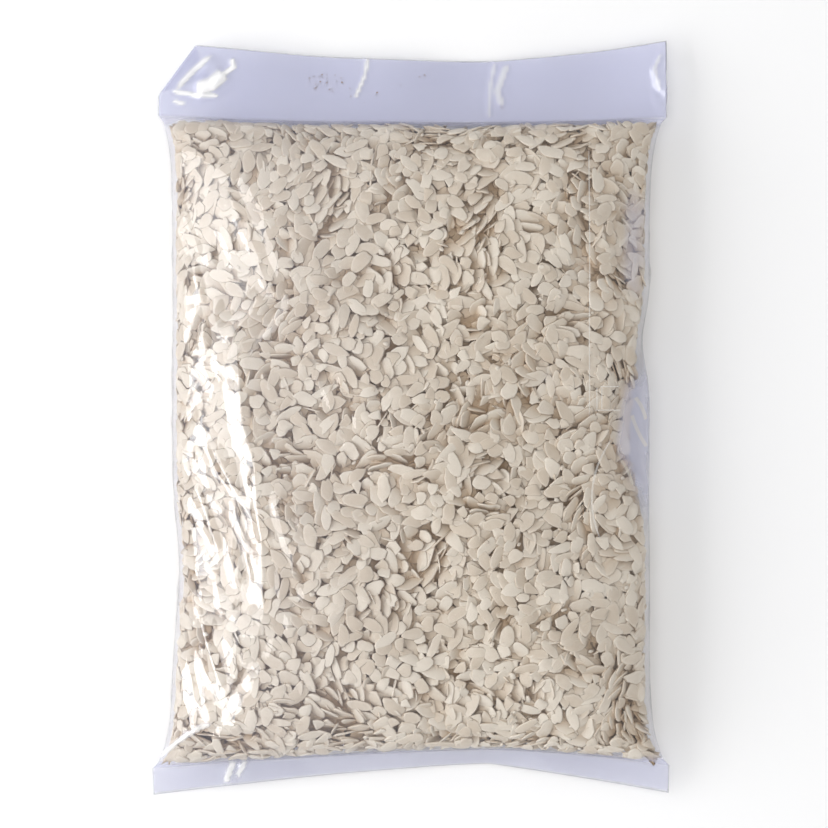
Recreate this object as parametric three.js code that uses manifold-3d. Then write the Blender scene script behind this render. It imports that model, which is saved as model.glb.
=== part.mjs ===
// A clear pillow bag packed full of flattened rice, lying on its back.
//
// Millimetres, +Z up. The wide plain header points to +Y, and the shown face looks up.
// The bag and its contents are one solid: a flat tube of film, welded straight across at
// both ends, and swollen between the two welds by the flakes. The film is drawn tight over
// the flakes, so the filled part carries flat bumps of their size. Past each weld the two
// sheets of film lie together as a thin band. The top left corner of the header is folded
// under. The swollen middle draws the ends in, most of all at PINCH_X.

import * as THREE from "three";
import { mergeVertices } from "three/addons/utils/BufferGeometryUtils.js";
import Module from "manifold-3d";

const wasm = await Module();
wasm.setup();

// Size of the bag. Its flat tube of film is as wide as the bottom band.
const BOTTOM_SIDES = [-94, 94]; // x of the left and right sides of the bottom band
const TOP_SIDES = [-91.8, 93]; // and of the header, which its ripples make narrower
const WAIST_HALF = 87; // half the width of the filled part, away from its ends
const FLARE = 10; // distance over which the waist widens to the welds
const FILL_HEIGHT = 38; // of the filled part, above what it lies on
const WIDEST_Z = 15; // height at which the filled part is widest
const BELLY_SAG = 3.5; // how far the belly would hang below the floor, which flattens it
const TOP_ROUNDNESS = 2.5; // powers of the superellipse across the bag
const BELLY_ROUNDNESS = 2.9;
const END_BLUNTNESS = 6; // and of the one along it

// Lines across the bag. Each has its y where the bag is drawn in most, how much further it
// reaches at the left and right corners, and how late it gets there.
const PINCH_X = 28.5;
const TOP_EDGE = { y: 130.6, left: 7.6, right: 7.0, leftPower: 2.2, rightPower: 1.4 };
const TOP_WELD = { y: 107.6, left: 2.6, right: 2.0, leftPower: 3, rightPower: 2 };
const BOTTOM_WELD = { y: -120.6, left: -6.6, right: -5.6, leftPower: 1.4, rightPower: 1.6 };
const BOTTOM_EDGE = { y: -126.4, left: -11, right: -10.2, leftPower: 1.4, rightPower: 1.1 };

// The two bands of film. Each slopes down from its weld to its free edge, where it lies at
// middleZ at the pinch and at endZ at its corners, and ripples from side to side.
const TOP_BAND = {
  sides: TOP_SIDES,
  weld: TOP_WELD,
  edge: TOP_EDGE,
  weldZ: 12,
  middleZ: 2.4,
  endZ: 8,
  ripple: 1.2,
};
const BOTTOM_BAND = {
  sides: BOTTOM_SIDES,
  weld: BOTTOM_WELD,
  edge: BOTTOM_EDGE,
  weldZ: 10,
  middleZ: 1.6,
  endZ: 5,
  ripple: 0.4,
};
const BAND_THICKNESS = 0.8;
const RIPPLE = { apart: 52, slant: 0.5 };

// Where the film's side is pinched in: side is 0 for left and 1 for right.
const DENTS = [
  { side: 1, y: 28, depth: 2.6, reach: 11 },
  { side: 0, y: -56, depth: 2.4, reach: 22 },
];

// Slow unevenness of the filled faces, and the flat bumps of the flakes.
const LUMP = 0.9;
const FLAKES_A_FACE = 1900;
const FLAKE_LENGTH = [6.5, 11.5];
const FLAKE_WIDTH = [3.6, 5.2];
const FLAKE_DEPTH = 1.4; // from the film down to the gaps between flakes
const BUMP_FADE = 0.6; // fullness at which the bumps near a weld have their whole depth

// The header's top left corner is folded under along the line from FOLD_START to FOLD_END.
const FOLD_START = [-91.8, 117.6];
const FOLD_END = [-78.2, 136.7];
const FLAP_DEPTH = 1.5;

// How finely the faces are divided.
const COLUMNS = 51;
const BODY_ROWS = 58;
const TOP_BAND_ROWS = 5;
const BOTTOM_BAND_ROWS = 3;
const SECTION_SAMPLES = 240;

const [TOP, BELLY] = [1, -1]; // the faces, by the way that they look
const { lerp } = THREE.MathUtils;

// The same run of numbers on every build.
function seededRandom(seed) {
  let state = seed;
  return () => {
    state = (state + 0x6d2b79f5) | 0;
    let mixed = Math.imul(state ^ (state >>> 15), 1 | state);
    mixed = (mixed + Math.imul(mixed ^ (mixed >>> 7), 61 | mixed)) ^ mixed;
    return ((mixed ^ (mixed >>> 14)) >>> 0) / 2 ** 32;
  };
}

// The share of the way from the pinch to the bag's side, from 0 to 1.
function fromPinch(x) {
  const side = BOTTOM_SIDES[x < PINCH_X ? 0 : 1];
  return Math.min(1, (x - PINCH_X) / (side - PINCH_X));
}

function lineY(line, x) {
  const share = fromPinch(x);
  return x < PINCH_X
    ? line.y + line.left * share ** line.leftPower
    : line.y + line.right * share ** line.rightPower;
}

// How full the bag is at a share v of the way from the bottom weld to the top one.
function fullness(v) {
  return Math.sqrt(Math.max(0, 1 - Math.abs(2 * v - 1) ** END_BLUNTNESS));
}

// x of the filled part's side, 0 for left and 1 for right, at a share v of the way from the
// bottom weld to the top one.
function sideX(side, v) {
  const waist = side === 0 ? -WAIST_HALF : WAIST_HALF;
  const bottom = lineY(BOTTOM_WELD, waist);
  const top = lineY(TOP_WELD, waist);
  const y = lerp(bottom, top, v);
  let x = waist;
  x += (BOTTOM_SIDES[side] - waist) * Math.exp((bottom - y) / FLARE);
  x += (TOP_SIDES[side] - waist) * Math.exp((y - top) / FLARE);
  for (const dent of DENTS.filter((one) => one.side === side))
    x -= Math.sign(waist) * dent.depth * Math.exp(-(((y - dent.y) / dent.reach) ** 2));
  return x;
}

// Slow rises and hollows of a filled face.
function lump(x, y) {
  const across = Math.sin(x / 17 + 1.3) * Math.cos(y / 23 + 0.4);
  const slanting = Math.sin(x / 9.5 + y / 14 + 2.1);
  return LUMP * (across + 0.6 * slanting);
}

// One face's section at v, from the left side to the right: COLUMNS + 1 points that are
// evenly spaced along it.
function bodyRow(face, v) {
  const full = fullness(v);
  const sideZ = lerp(lerp(BOTTOM_BAND.weldZ, TOP_BAND.weldZ, v), WIDEST_Z, full);
  const rise = face === TOP ? FILL_HEIGHT - WIDEST_Z : WIDEST_Z + BELLY_SAG;
  const roundness = face === TOP ? TOP_ROUNDNESS : BELLY_ROUNDNESS;
  const dense = [];
  for (let k = 0; k <= SECTION_SAMPLES; k++) {
    const angle = Math.PI * (1 - k / SECTION_SAMPLES);
    const across = Math.sign(Math.cos(angle)) * Math.abs(Math.cos(angle)) ** (2 / roundness);
    const dome = Math.abs(Math.sin(angle)) ** (2 / roundness);
    const x = lerp(sideX(0, v), sideX(1, v), (across + 1) / 2);
    const y = lerp(lineY(BOTTOM_WELD, x), lineY(TOP_WELD, x), v);
    const swell = full * dome * (rise + lump(x, y) * full * dome);
    const sheet = Math.min(1, 4 * dome) * (BAND_THICKNESS / 2);
    dense.push(new THREE.Vector3(x, y, sideZ + face * (swell + sheet)));
  }
  return evenlySpaced(dense);
}

// COLUMNS + 1 points at equal distances along a run of points.
function evenlySpaced(dense) {
  const reached = [0];
  for (let k = 1; k < dense.length; k++)
    reached.push(reached[k - 1] + dense[k].distanceTo(dense[k - 1]));
  const row = [];
  let k = 1;
  for (let column = 0; column <= COLUMNS; column++) {
    const wanted = (reached.at(-1) * column) / COLUMNS;
    while (k < dense.length - 1 && reached[k] < wanted) k++;
    const share = (wanted - reached[k - 1]) / (reached[k] - reached[k - 1]);
    row.push(dense[k - 1].clone().lerp(dense[k], share));
  }
  return row;
}

// The two faces meet in their first and last columns.
function isSide(column) {
  return column === 0 || column === COLUMNS;
}

// One sheet of a band of film, at a share w of the way from its weld to its free edge.
function bandRow(face, band, w) {
  const { sides, weld, edge } = band;
  const row = [];
  for (let column = 0; column <= COLUMNS; column++) {
    const x = lerp(sides[0], sides[1], column / COLUMNS);
    const z = bandZ(band, x, w) + (isSide(column) ? 0 : (face * BAND_THICKNESS) / 2);
    row.push(new THREE.Vector3(x, lerp(lineY(weld, x), lineY(edge, x), w), z));
  }
  return row;
}

// Height of the middle of a band's thickness, at a share w of the way to its free edge.
function bandZ(band, x, w) {
  const edgeZ = lerp(band.middleZ, band.endZ, fromPinch(x));
  const wave = Math.sin((2 * Math.PI * (x - PINCH_X)) / RIPPLE.apart - RIPPLE.slant * w);
  return lerp(band.weldZ, edgeZ, w) + band.ripple * wave * Math.sin((w * Math.PI) / 2);
}

// Rows of one face, from the bottom edge to the top edge of the bag.
function faceRows(face) {
  const rows = [];
  for (let k = BOTTOM_BAND_ROWS; k > 0; k--)
    rows.push(bandRow(face, BOTTOM_BAND, k / BOTTOM_BAND_ROWS));
  for (let k = 0; k <= BODY_ROWS; k++) {
    const even = k / BODY_ROWS;
    const crowded = (1 - Math.cos(Math.PI * even)) / 2; // closer together at the blunt ends
    rows.push(bodyRow(face, lerp(even, crowded, 0.6)));
  }
  for (let k = 1; k <= TOP_BAND_ROWS; k++)
    rows.push(bandRow(face, TOP_BAND, k / TOP_BAND_ROWS));
  return rows;
}

// Flakes strewn over a face that is laid out flat: each is an oval plate with its own
// height under the film, from 0, touching it, to 1, down at the gaps.
function strewnFlakes(seed) {
  const random = seededRandom(seed);
  const between = ([low, high]) => lerp(low, high, random());
  return Array.from({ length: FLAKES_A_FACE }, () => ({
    x: lerp(...BOTTOM_SIDES, random()),
    y: lerp(BOTTOM_EDGE.y, TOP_EDGE.y, random()),
    turn: Math.PI * random(),
    halfLength: between(FLAKE_LENGTH) / 2,
    halfWidth: between(FLAKE_WIDTH) / 2,
    sunk: random() ** 2 * 0.8,
  }));
}

// How deep the nearest flake under a point lies, as a share of FLAKE_DEPTH.
function depthUnderFilm(flakes, x, y) {
  let depth = 1;
  for (const flake of flakes) {
    const [dx, dy] = [x - flake.x, y - flake.y];
    if (dx * dx + dy * dy > flake.halfLength ** 2) continue;
    const along = (dx * Math.cos(flake.turn) + dy * Math.sin(flake.turn)) / flake.halfLength;
    const aside = (dy * Math.cos(flake.turn) - dx * Math.sin(flake.turn)) / flake.halfWidth;
    const out = along * along + aside * aside;
    if (out < 1) depth = Math.min(depth, flake.sunk + 0.35 * out);
  }
  return depth;
}

// How far a point of a face is pushed in, to leave the flakes standing. The bumps fade out
// towards the welds, and the bands have none.
function pushedIn(flakes, row, column, point) {
  const along = (row - BOTTOM_BAND_ROWS) / BODY_ROWS;
  const fade = THREE.MathUtils.clamp(fullness(along) / BUMP_FADE - 0.05, 0, 1);
  const flatX = lerp(...BOTTOM_SIDES, column / COLUMNS);
  return fade * FLAKE_DEPTH * depthUnderFilm(flakes, flatX, point.y);
}

// The closed skin of the bag. The faces share their side columns, and a strip joins them at
// both free edges.
function bagSkin() {
  const points = [];
  const depths = [];
  const addFace = (face, flakes, shared) =>
    faceRows(face).map((row, r) =>
      row.map((point, column) => {
        if (shared && isSide(column)) return shared[r][column];
        depths.push(pushedIn(flakes, r, column, point));
        return points.push(point) - 1;
      }),
    );
  const top = addFace(TOP, strewnFlakes(11));
  const belly = addFace(BELLY, strewnFlakes(12), top);

  const triangles = [];
  const addQuad = (a, b, c, d) => triangles.push([a, b, c], [a, c, d]);
  // A cell is split between the corners that are nearest in depth, to keep a bump whole.
  const addCell = (a, b, c, d) => {
    const split = Math.abs(depths[a] - depths[c]) < Math.abs(depths[b] - depths[d]);
    return split ? addQuad(a, b, c, d) : addQuad(b, c, d, a);
  };
  const last = top.length - 1;
  for (let c = 0; c < COLUMNS; c++) {
    for (let r = 0; r < last; r++) {
      addCell(top[r][c], top[r][c + 1], top[r + 1][c + 1], top[r + 1][c]);
      addCell(belly[r][c], belly[r + 1][c], belly[r + 1][c + 1], belly[r][c + 1]);
    }
    addQuad(top[0][c], belly[0][c], belly[0][c + 1], top[0][c + 1]);
    addQuad(top[last][c + 1], belly[last][c + 1], belly[last][c], top[last][c]);
  }
  // The strips end in a point at the sides, where a triangle has no width.
  const index = triangles.filter(([a, b, c]) => a !== b && b !== c && c !== a).flat();

  const smooth = new THREE.BufferGeometry().setFromPoints(points).setIndex(index);
  smooth.computeVertexNormals();
  const normal = new THREE.Vector3();
  points.forEach((point, k) => {
    normal.fromBufferAttribute(smooth.attributes.normal, k);
    point.addScaledVector(normal, -depths[k]);
  });
  return new THREE.BufferGeometry().setFromPoints(points).setIndex(index);
}

// A three.js geometry as a manifold-3d solid, and back.
function toSolid(geometry) {
  const bare = geometry.clone();
  bare.deleteAttribute("normal");
  bare.deleteAttribute("uv");
  const merged = mergeVertices(bare, 1e-3);
  return new wasm.Manifold(
    new wasm.Mesh({
      numProp: 3,
      vertProperties: new Float32Array(merged.attributes.position.array),
      triVerts: new Uint32Array(merged.index.array),
    }),
  );
}

function toGeometry(solid) {
  const mesh = solid.getMesh();
  return new THREE.BufferGeometry()
    .setAttribute("position", new THREE.BufferAttribute(mesh.vertProperties, mesh.numProp))
    .setIndex(new THREE.BufferAttribute(mesh.triVerts, 1));
}

// Everything below the surface that the bag lies on.
function floorBlock() {
  const side = 4 * WAIST_HALF;
  return new THREE.BoxGeometry(side, side, FILL_HEIGHT).translate(0, 0, -FILL_HEIGHT / 2);
}

// The side of the fold on which the header's corner was.
function beyondFold() {
  const start = new THREE.Vector2(...FOLD_START);
  const end = new THREE.Vector2(...FOLD_END);
  const size = 2.5 * start.distanceTo(end);
  return new THREE.BoxGeometry(size, size, size)
    .translate(0, size / 2, 0)
    .rotateZ(end.clone().sub(start).angle())
    .translate((start.x + end.x) / 2, (start.y + end.y) / 2, TOP_BAND.weldZ);
}

// The folded corner, a triangular plate against the underside of the header.
function foldedFlap() {
  const start = new THREE.Vector2(...FOLD_START);
  const end = new THREE.Vector2(...FOLD_END);
  const corner = new THREE.Vector2(TOP_SIDES[0], lineY(TOP_EDGE, TOP_SIDES[0]));
  const fold = end.clone().sub(start).normalize();
  const along = start.clone().addScaledVector(fold, corner.clone().sub(start).dot(fold));
  const tip = along.clone().multiplyScalar(2).sub(corner);
  const points = [start, tip, end].flatMap(({ x, y }) => {
    const weldY = lineY(TOP_WELD, x);
    const share = (y - weldY) / (lineY(TOP_EDGE, x) - weldY);
    const z = bandZ(TOP_BAND, x, share);
    return [new THREE.Vector3(x, y, z), new THREE.Vector3(x, y, z - FLAP_DEPTH)];
  });
  const faces = [0, 2, 4, 1, 5, 3, 0, 1, 3, 0, 3, 2, 2, 3, 5, 2, 5, 4, 4, 5, 1, 4, 1, 0];
  return new THREE.BufferGeometry().setFromPoints(points).setIndex(faces);
}

function bagSolid() {
  const skin = toSolid(bagSkin());
  const lying = skin.subtract(toSolid(floorBlock()));
  const folded = lying.subtract(toSolid(beyondFold())).add(toSolid(foldedFlap()));
  return toGeometry(folded);
}

const bag = new THREE.Mesh(
  bagSolid(),
  new THREE.MeshStandardMaterial({ color: 0xd6cbb9, roughness: 0.35, metalness: 0 }),
);
bag.name = "bag";

// The origin is under the middle of the bag, on the surface that it lies on.
const box = new THREE.Box3().setFromObject(bag);
const middle = box.getCenter(new THREE.Vector3());
bag.position.set(-middle.x, -middle.y, -box.min.z);

const part = new THREE.Group();
part.add(bag);

export default part;
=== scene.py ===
"""A clear pillow bag packed full of flattened rice, lying on its back.

Metres, +Z up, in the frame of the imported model: the wide plain header points to +Y and the
shown face looks up. The bag is one flat tube of film, welded across at both ends. Its filled
part is described twice over: by its section at each share of the way between the welds, and,
unrolled, by s, the way round the tube from its left side, and t, the way along it from the
bottom weld. Depths are measured inwards from that smooth form. Flakes are settled from the
film inwards, each behind those already there, and the film is then drawn over them.
"""

import logging
import math
from collections.abc import Callable
from dataclasses import dataclass, field
from enum import Enum
from functools import cached_property, reduce

import bmesh
import bpy
import numpy as np
from mathutils import Matrix, Vector

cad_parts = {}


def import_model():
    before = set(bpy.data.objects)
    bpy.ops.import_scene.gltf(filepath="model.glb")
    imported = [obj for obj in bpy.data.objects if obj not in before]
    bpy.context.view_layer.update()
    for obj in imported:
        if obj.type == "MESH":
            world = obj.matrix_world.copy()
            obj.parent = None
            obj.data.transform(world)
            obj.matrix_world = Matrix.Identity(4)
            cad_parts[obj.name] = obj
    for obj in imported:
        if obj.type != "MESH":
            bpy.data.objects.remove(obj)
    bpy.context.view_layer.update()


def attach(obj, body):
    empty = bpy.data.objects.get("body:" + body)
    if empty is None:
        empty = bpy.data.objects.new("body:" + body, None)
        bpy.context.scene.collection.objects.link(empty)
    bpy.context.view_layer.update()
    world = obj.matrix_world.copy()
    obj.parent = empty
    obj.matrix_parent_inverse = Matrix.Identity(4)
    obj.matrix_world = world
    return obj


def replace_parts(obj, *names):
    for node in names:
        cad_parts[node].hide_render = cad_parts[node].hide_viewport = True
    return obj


Array = np.ndarray
Place = tuple[float, float]
Pair = tuple[float, float]
Colour = tuple[float, float, float]

MM = 0.001
NODE = "bag"
BODY = "root"
BEND_LEVEL = 0.4  # a bent flake's middle lies below its level by this share of its bend
log = logging.getLogger("bag")


class Face(Enum):
    """The two faces of the bag, by the way that they look."""

    TOP = 1
    BELLY = -1


def lerp(low: Array, high: Array, share: Array) -> Array:
    """Return the value at a share of the way from low to high."""
    return low + (high - low) * share


def path(*places: Place) -> tuple[Place, ...]:
    """Return places that are given in millimetres as a line in metres."""
    return tuple((x * MM, y * MM) for x, y in places)


def ramp(low: float, high: float, value: Array) -> Array:
    """Return a smooth step from 0 at low to 1 at high.

    Args:
        low: Value at which the step starts.
        high: Value at which it is complete.
        value: Values to step.

    Returns:
        The steps, from 0 to 1.
    """
    share = np.clip((value - low) / (high - low), 0.0, 1.0)
    return share * share * (3.0 - 2.0 * share)


def spaced(lines: Array, shares: Array) -> Array:
    """Pick points at given shares of the length of each of many polylines.

    Args:
        lines: Polylines, as an array of (line, point, 3).
        shares: Shares of a line's length, from 0 to 1.

    Returns:
        The points, as an array of (line, share, 3).
    """
    steps = np.linalg.norm(np.diff(lines, axis=1), axis=2)
    reached = np.concatenate([np.zeros((len(lines), 1)), np.cumsum(steps, axis=1)], axis=1)
    reached /= reached[:, -1:]
    picked = np.empty((len(lines), len(shares), 3))
    for number, line in enumerate(lines):
        for axis in range(3):
            picked[number, :, axis] = np.interp(shares, reached[number], line[:, axis])
    return picked


def blurred(values: Array, cells: float) -> Array:
    """Blur a raster that closes on itself across its second axis.

    Args:
        values: The raster, as (t, s).
        cells: Standard deviation of the blur, in cells.

    Returns:
        The blurred raster.
    """
    reach = int(math.ceil(3 * cells))
    weights = np.exp(-0.5 * (np.arange(-reach, reach + 1) / cells) ** 2)
    weights /= weights.sum()
    rows = np.pad(values, ((reach, reach), (0, 0)), mode="edge")
    along = sum(w * rows[k:k + len(values)] for k, w in enumerate(weights))
    return sum(w * np.roll(along, k - reach, axis=1) for k, w in enumerate(weights))


def eroded(values: Array, cells: int) -> Array:
    """Give each cell of a raster the least value within a square round it.

    Args:
        values: The raster, as (t, s), which closes on itself across its second axis.
        cells: Half the side of the square, in cells.

    Returns:
        The eroded raster.
    """
    rows = np.pad(values, ((cells, cells), (0, 0)), mode="edge")
    least = np.min([rows[k:k + len(values)] for k in range(2 * cells + 1)], axis=0)
    return np.min([np.roll(least, k, axis=1) for k in range(-cells, cells + 1)], axis=0)


@dataclass(frozen=True)
class Unevenness:
    """Smooth, seeded ups and downs between -1 and 1."""

    cell: float
    seed: int

    @cached_property
    def knots(self) -> Array:
        """Draw the heights at the corners of the cells."""
        return np.random.default_rng(self.seed).uniform(-1.0, 1.0, (128, 128))

    def at(self, x: Array, y: Array) -> Array:
        """Sample the unevenness.

        Args:
            x: First coordinates.
            y: Second coordinates.

        Returns:
            The heights there.
        """
        column, row = np.floor(x / self.cell), np.floor(y / self.cell)
        across = ramp(0.0, 1.0, x / self.cell - column)
        along = ramp(0.0, 1.0, y / self.cell - row)
        i, j = column.astype(int) % 128, row.astype(int) % 128
        right, up = (i + 1) % 128, (j + 1) % 128
        near = lerp(self.knots[j, i], self.knots[j, right], across)
        far = lerp(self.knots[up, i], self.knots[up, right], across)
        return lerp(near, far, along)


@dataclass(frozen=True)
class CrossLine:
    """A line across the bag, which the swollen middle draws in most at the pinch."""

    y: float
    left: float
    right: float
    left_power: float
    right_power: float


@dataclass(frozen=True)
class Band:
    """A band of film past a weld, where the two sheets lie together."""

    sides: tuple[float, float]
    weld: CrossLine
    edge: CrossLine
    weld_z: float
    middle_z: float
    end_z: float
    ripple: float


@dataclass(frozen=True)
class Dent:
    """A place where the film's side is pinched in: side is 0 for left and 1 for right."""

    side: int
    y: float
    depth: float
    reach: float


BOTTOM_SIDES = (-94 * MM, 94 * MM)
TOP_SIDES = (-91.8 * MM, 93 * MM)
TOP_BAND = Band(
    sides=TOP_SIDES,
    weld=CrossLine(107.6 * MM, 2.6 * MM, 2.0 * MM, 3.0, 2.0),
    edge=CrossLine(130.6 * MM, 7.6 * MM, 7.0 * MM, 2.2, 1.4),
    weld_z=12 * MM, middle_z=2.4 * MM, end_z=8 * MM, ripple=1.2 * MM,
)
BOTTOM_BAND = Band(
    sides=BOTTOM_SIDES,
    weld=CrossLine(-120.6 * MM, -6.6 * MM, -5.6 * MM, 1.4, 1.6),
    edge=CrossLine(-126.4 * MM, -11 * MM, -10.2 * MM, 1.4, 1.1),
    weld_z=10 * MM, middle_z=1.6 * MM, end_z=5 * MM, ripple=0.4 * MM,
)


@dataclass(frozen=True)
class BagShape:
    """The smooth form of the closed bag, before flakes and creases shape its film."""

    bottom: Band = BOTTOM_BAND
    top: Band = TOP_BAND
    waist_half: float = 87 * MM
    flare: float = 10 * MM
    fill_height: float = 38 * MM
    widest_z: float = 15 * MM
    belly_sag: float = 3.5 * MM
    top_roundness: float = 2.5
    belly_roundness: float = 2.9
    end_bluntness: float = 6.0
    pinch_x: float = 28.5 * MM
    ripple_apart: float = 52 * MM
    ripple_slant: float = 0.5
    lump: float = 0.9 * MM
    lump_waves: Pair = (17 * MM, 23 * MM)
    lump_slant: Pair = (9.5 * MM, 14 * MM)
    floor_gap: float = 0.2 * MM
    dents: tuple[Dent, ...] = (
        Dent(side=1, y=28 * MM, depth=2.6 * MM, reach=11 * MM),
        Dent(side=0, y=-56 * MM, depth=2.4 * MM, reach=22 * MM),
    )

    def from_pinch(self, x: Array) -> Array:
        """Return the share of the way from the pinch to the bag's side."""
        room = np.where(x < self.pinch_x, self.bottom.sides[0], self.bottom.sides[1])
        return np.clip((x - self.pinch_x) / (room - self.pinch_x), 0.0, 1.0)

    def line_y(self, line: CrossLine, x: Array) -> Array:
        """Return the y of a line across the bag at each x."""
        share = self.from_pinch(x)
        left = line.left * share ** line.left_power
        right = line.right * share ** line.right_power
        return line.y + np.where(x < self.pinch_x, left, right)

    def fullness(self, v: Array) -> Array:
        """Return how full the bag is at a share v of the way between its welds."""
        return np.sqrt(np.clip(1.0 - np.abs(2 * v - 1) ** self.end_bluntness, 0.0, 1.0))

    def side_x(self, side: int, v: Array) -> Array:
        """Find the filled part's side.

        Args:
            side: 0 for the left side and 1 for the right one.
            v: Shares of the way from the bottom weld to the top one.

        Returns:
            The x of that side at each share.
        """
        waist = -self.waist_half if side == 0 else self.waist_half
        low = float(self.line_y(self.bottom.weld, np.array(waist)))
        high = float(self.line_y(self.top.weld, np.array(waist)))
        y = lerp(low, high, v)
        x = waist + (self.bottom.sides[side] - waist) * np.exp((low - y) / self.flare)
        x = x + (self.top.sides[side] - waist) * np.exp((y - high) / self.flare)
        for dent in self.dents:
            if dent.side == side:
                depth = dent.depth * np.exp(-(((y - dent.y) / dent.reach) ** 2))
                x = x - math.copysign(1.0, waist) * depth
        return x

    def lumps(self, x: Array, y: Array) -> Array:
        """Return the slow rises and hollows of a filled face."""
        across = np.sin(x / self.lump_waves[0] + 1.3) * np.cos(y / self.lump_waves[1] + 0.4)
        slanting = np.sin(x / self.lump_slant[0] + y / self.lump_slant[1] + 2.1)
        return self.lump * (across + 0.6 * slanting)

    def sections(self, face: Face, v: Array, samples: int = 320) -> Array:
        """Cut one face of the filled part across at each share of its length.

        Args:
            face: The face to cut.
            v: Shares of the way from the bottom weld to the top one.
            samples: Number of steps across the bag.

        Returns:
            A polyline from left to right for each share, as (share, point, 3).
        """
        rise = self.widest_z + self.belly_sag
        roundness = self.belly_roundness
        if face is Face.TOP:
            rise = self.fill_height - self.widest_z
            roundness = self.top_roundness
        angle = np.pi * (1.0 - np.arange(samples + 1) / samples)
        across = np.sign(np.cos(angle)) * np.abs(np.cos(angle)) ** (2 / roundness)
        dome = np.abs(np.sin(angle)) ** (2 / roundness)
        v = v[:, None]
        x = lerp(self.side_x(0, v), self.side_x(1, v), (across + 1) / 2)
        y = lerp(self.line_y(self.bottom.weld, x), self.line_y(self.top.weld, x), v)
        full = self.fullness(v)
        side_z = lerp(lerp(self.bottom.weld_z, self.top.weld_z, v), self.widest_z, full)
        swell = full * dome * (rise + self.lumps(x, y) * full * dome)
        z = np.maximum(side_z + face.value * swell, self.floor_gap)
        return np.stack([x, y, z], axis=-1)

    def band_point(self, band: Band, x: Array, w: Array) -> Array:
        """Find points in the middle of a band's thickness.

        Args:
            band: The band.
            x: Their x.
            w: Their share of the way from the weld to the free edge.

        Returns:
            The points, with one row for each.
        """
        y = lerp(self.line_y(band.weld, x), self.line_y(band.edge, x), w)
        edge_z = lerp(band.middle_z, band.end_z, self.from_pinch(x))
        turn = 2 * np.pi * (x - self.pinch_x) / self.ripple_apart - self.ripple_slant * w
        z = lerp(band.weld_z, edge_z, w) + band.ripple * np.sin(turn) * np.sin(w * np.pi / 2)
        return np.stack([x, y, z], axis=-1)


@dataclass
class FilmTube:
    """The filled part's smooth form, unrolled into s round the bag and t along it."""

    shape: BagShape
    cell: float = 1.0 * MM
    slices: int = 300
    smoothed_cells: float = 6.0
    measured_cells: int = 4
    stretch_limits: Pair = (0.8, 2.2)

    def __post_init__(self) -> None:
        """Work out the form on a grid of material points, one cell apart."""
        self.half_round = self.shape.bottom.sides[1] - self.shape.bottom.sides[0]
        self.columns = round(self.half_round / self.cell)
        v = (1.0 - np.cos(np.pi * np.linspace(0.0, 1.0, self.slices + 1))) / 2.0
        across = np.linspace(0.0, 1.0, self.columns + 1)
        faces = [spaced(self.shape.sections(face, v), across) for face in Face]
        middle = faces[0][:, self.columns // 2]
        self.length = float(np.linalg.norm(np.diff(middle, axis=0), axis=1).sum())
        self.rows = round(self.length / self.cell)
        along = np.linspace(0.0, 1.0, self.rows + 1)
        top, belly = (spaced(one.swapaxes(0, 1), along).swapaxes(0, 1) for one in faces)
        self.points = np.concatenate([top[:, :-1], belly[:, :0:-1]], axis=1)
        around = np.roll(self.points, -1, axis=1) - np.roll(self.points, 1, axis=1)
        onward = np.gradient(self.points, axis=0)
        normals = np.cross(around, onward)
        self.normals = normals / np.linalg.norm(normals, axis=-1, keepdims=True)

    @property
    def round(self) -> float:
        """Return the length of the way round the tube."""
        return 2 * self.half_round

    def to_side(self, s: Array) -> Array:
        """Return the way round the tube from each s to the nearer side of the bag."""
        return self.half_round / 2 - np.abs(s % self.half_round - self.half_round / 2)

    def raster(self, cell: float) -> tuple[Array, Array]:
        """Return s and t at the middle of each cell of a raster, as two arrays of (t, s)."""
        columns, rows = round(self.round / cell), round(self.length / cell)
        s = (np.arange(columns) + 0.5) * self.round / columns
        t = (np.arange(rows) + 0.5) * self.length / rows
        return np.meshgrid(s, t)

    def stretch(self, depth: Array) -> Array:
        """Find how much a length at some depth takes up in s and t.

        Args:
            depth: Raster of depths, as (t, s).

        Returns:
            Ways in s and t that a real length of 1 takes up there, as (t, s, 2).
        """
        rows, columns = depth.shape
        s = (np.arange(columns) + 0.5) * self.round / columns
        t = (np.arange(rows) + 0.5) * self.length / rows
        point, normal = self.at(*np.meshgrid(s, t))
        sunk = point - normal * blurred(depth, self.smoothed_cells)[..., None]
        cells = self.measured_cells
        around = np.roll(sunk, -cells, axis=1) - np.roll(sunk, cells, axis=1)
        across = 2 * cells * self.round / columns / np.linalg.norm(around, axis=-1)
        onward = np.linalg.norm(np.gradient(sunk, axis=0), axis=-1)
        taken = np.stack([across, self.length / rows / onward], -1)
        return np.clip(taken, *self.stretch_limits)

    def at(self, s: Array, t: Array) -> tuple[Array, Array]:
        """Find points of the smooth form.

        Args:
            s: Ways round the tube from its left side, over the top face first.
            t: Ways along it from the bottom weld.

        Returns:
            The points and the outward normals there, with one row for each.
        """
        column = s / self.round * 2 * self.columns
        row = np.clip(t / self.length, 0.0, 1.0) * self.rows
        left = np.floor(column).astype(int)
        low = np.minimum(np.floor(row).astype(int), self.rows - 1)
        across = (column - left)[..., None]
        along = (row - low)[..., None]
        left %= 2 * self.columns
        right = (left + 1) % (2 * self.columns)
        found = []
        for grid in (self.points, self.normals):
            near = lerp(grid[low, left], grid[low, right], across)
            far = lerp(grid[low + 1, left], grid[low + 1, right], across)
            found.append(lerp(near, far, along))
        return found[0], found[1]


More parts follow.
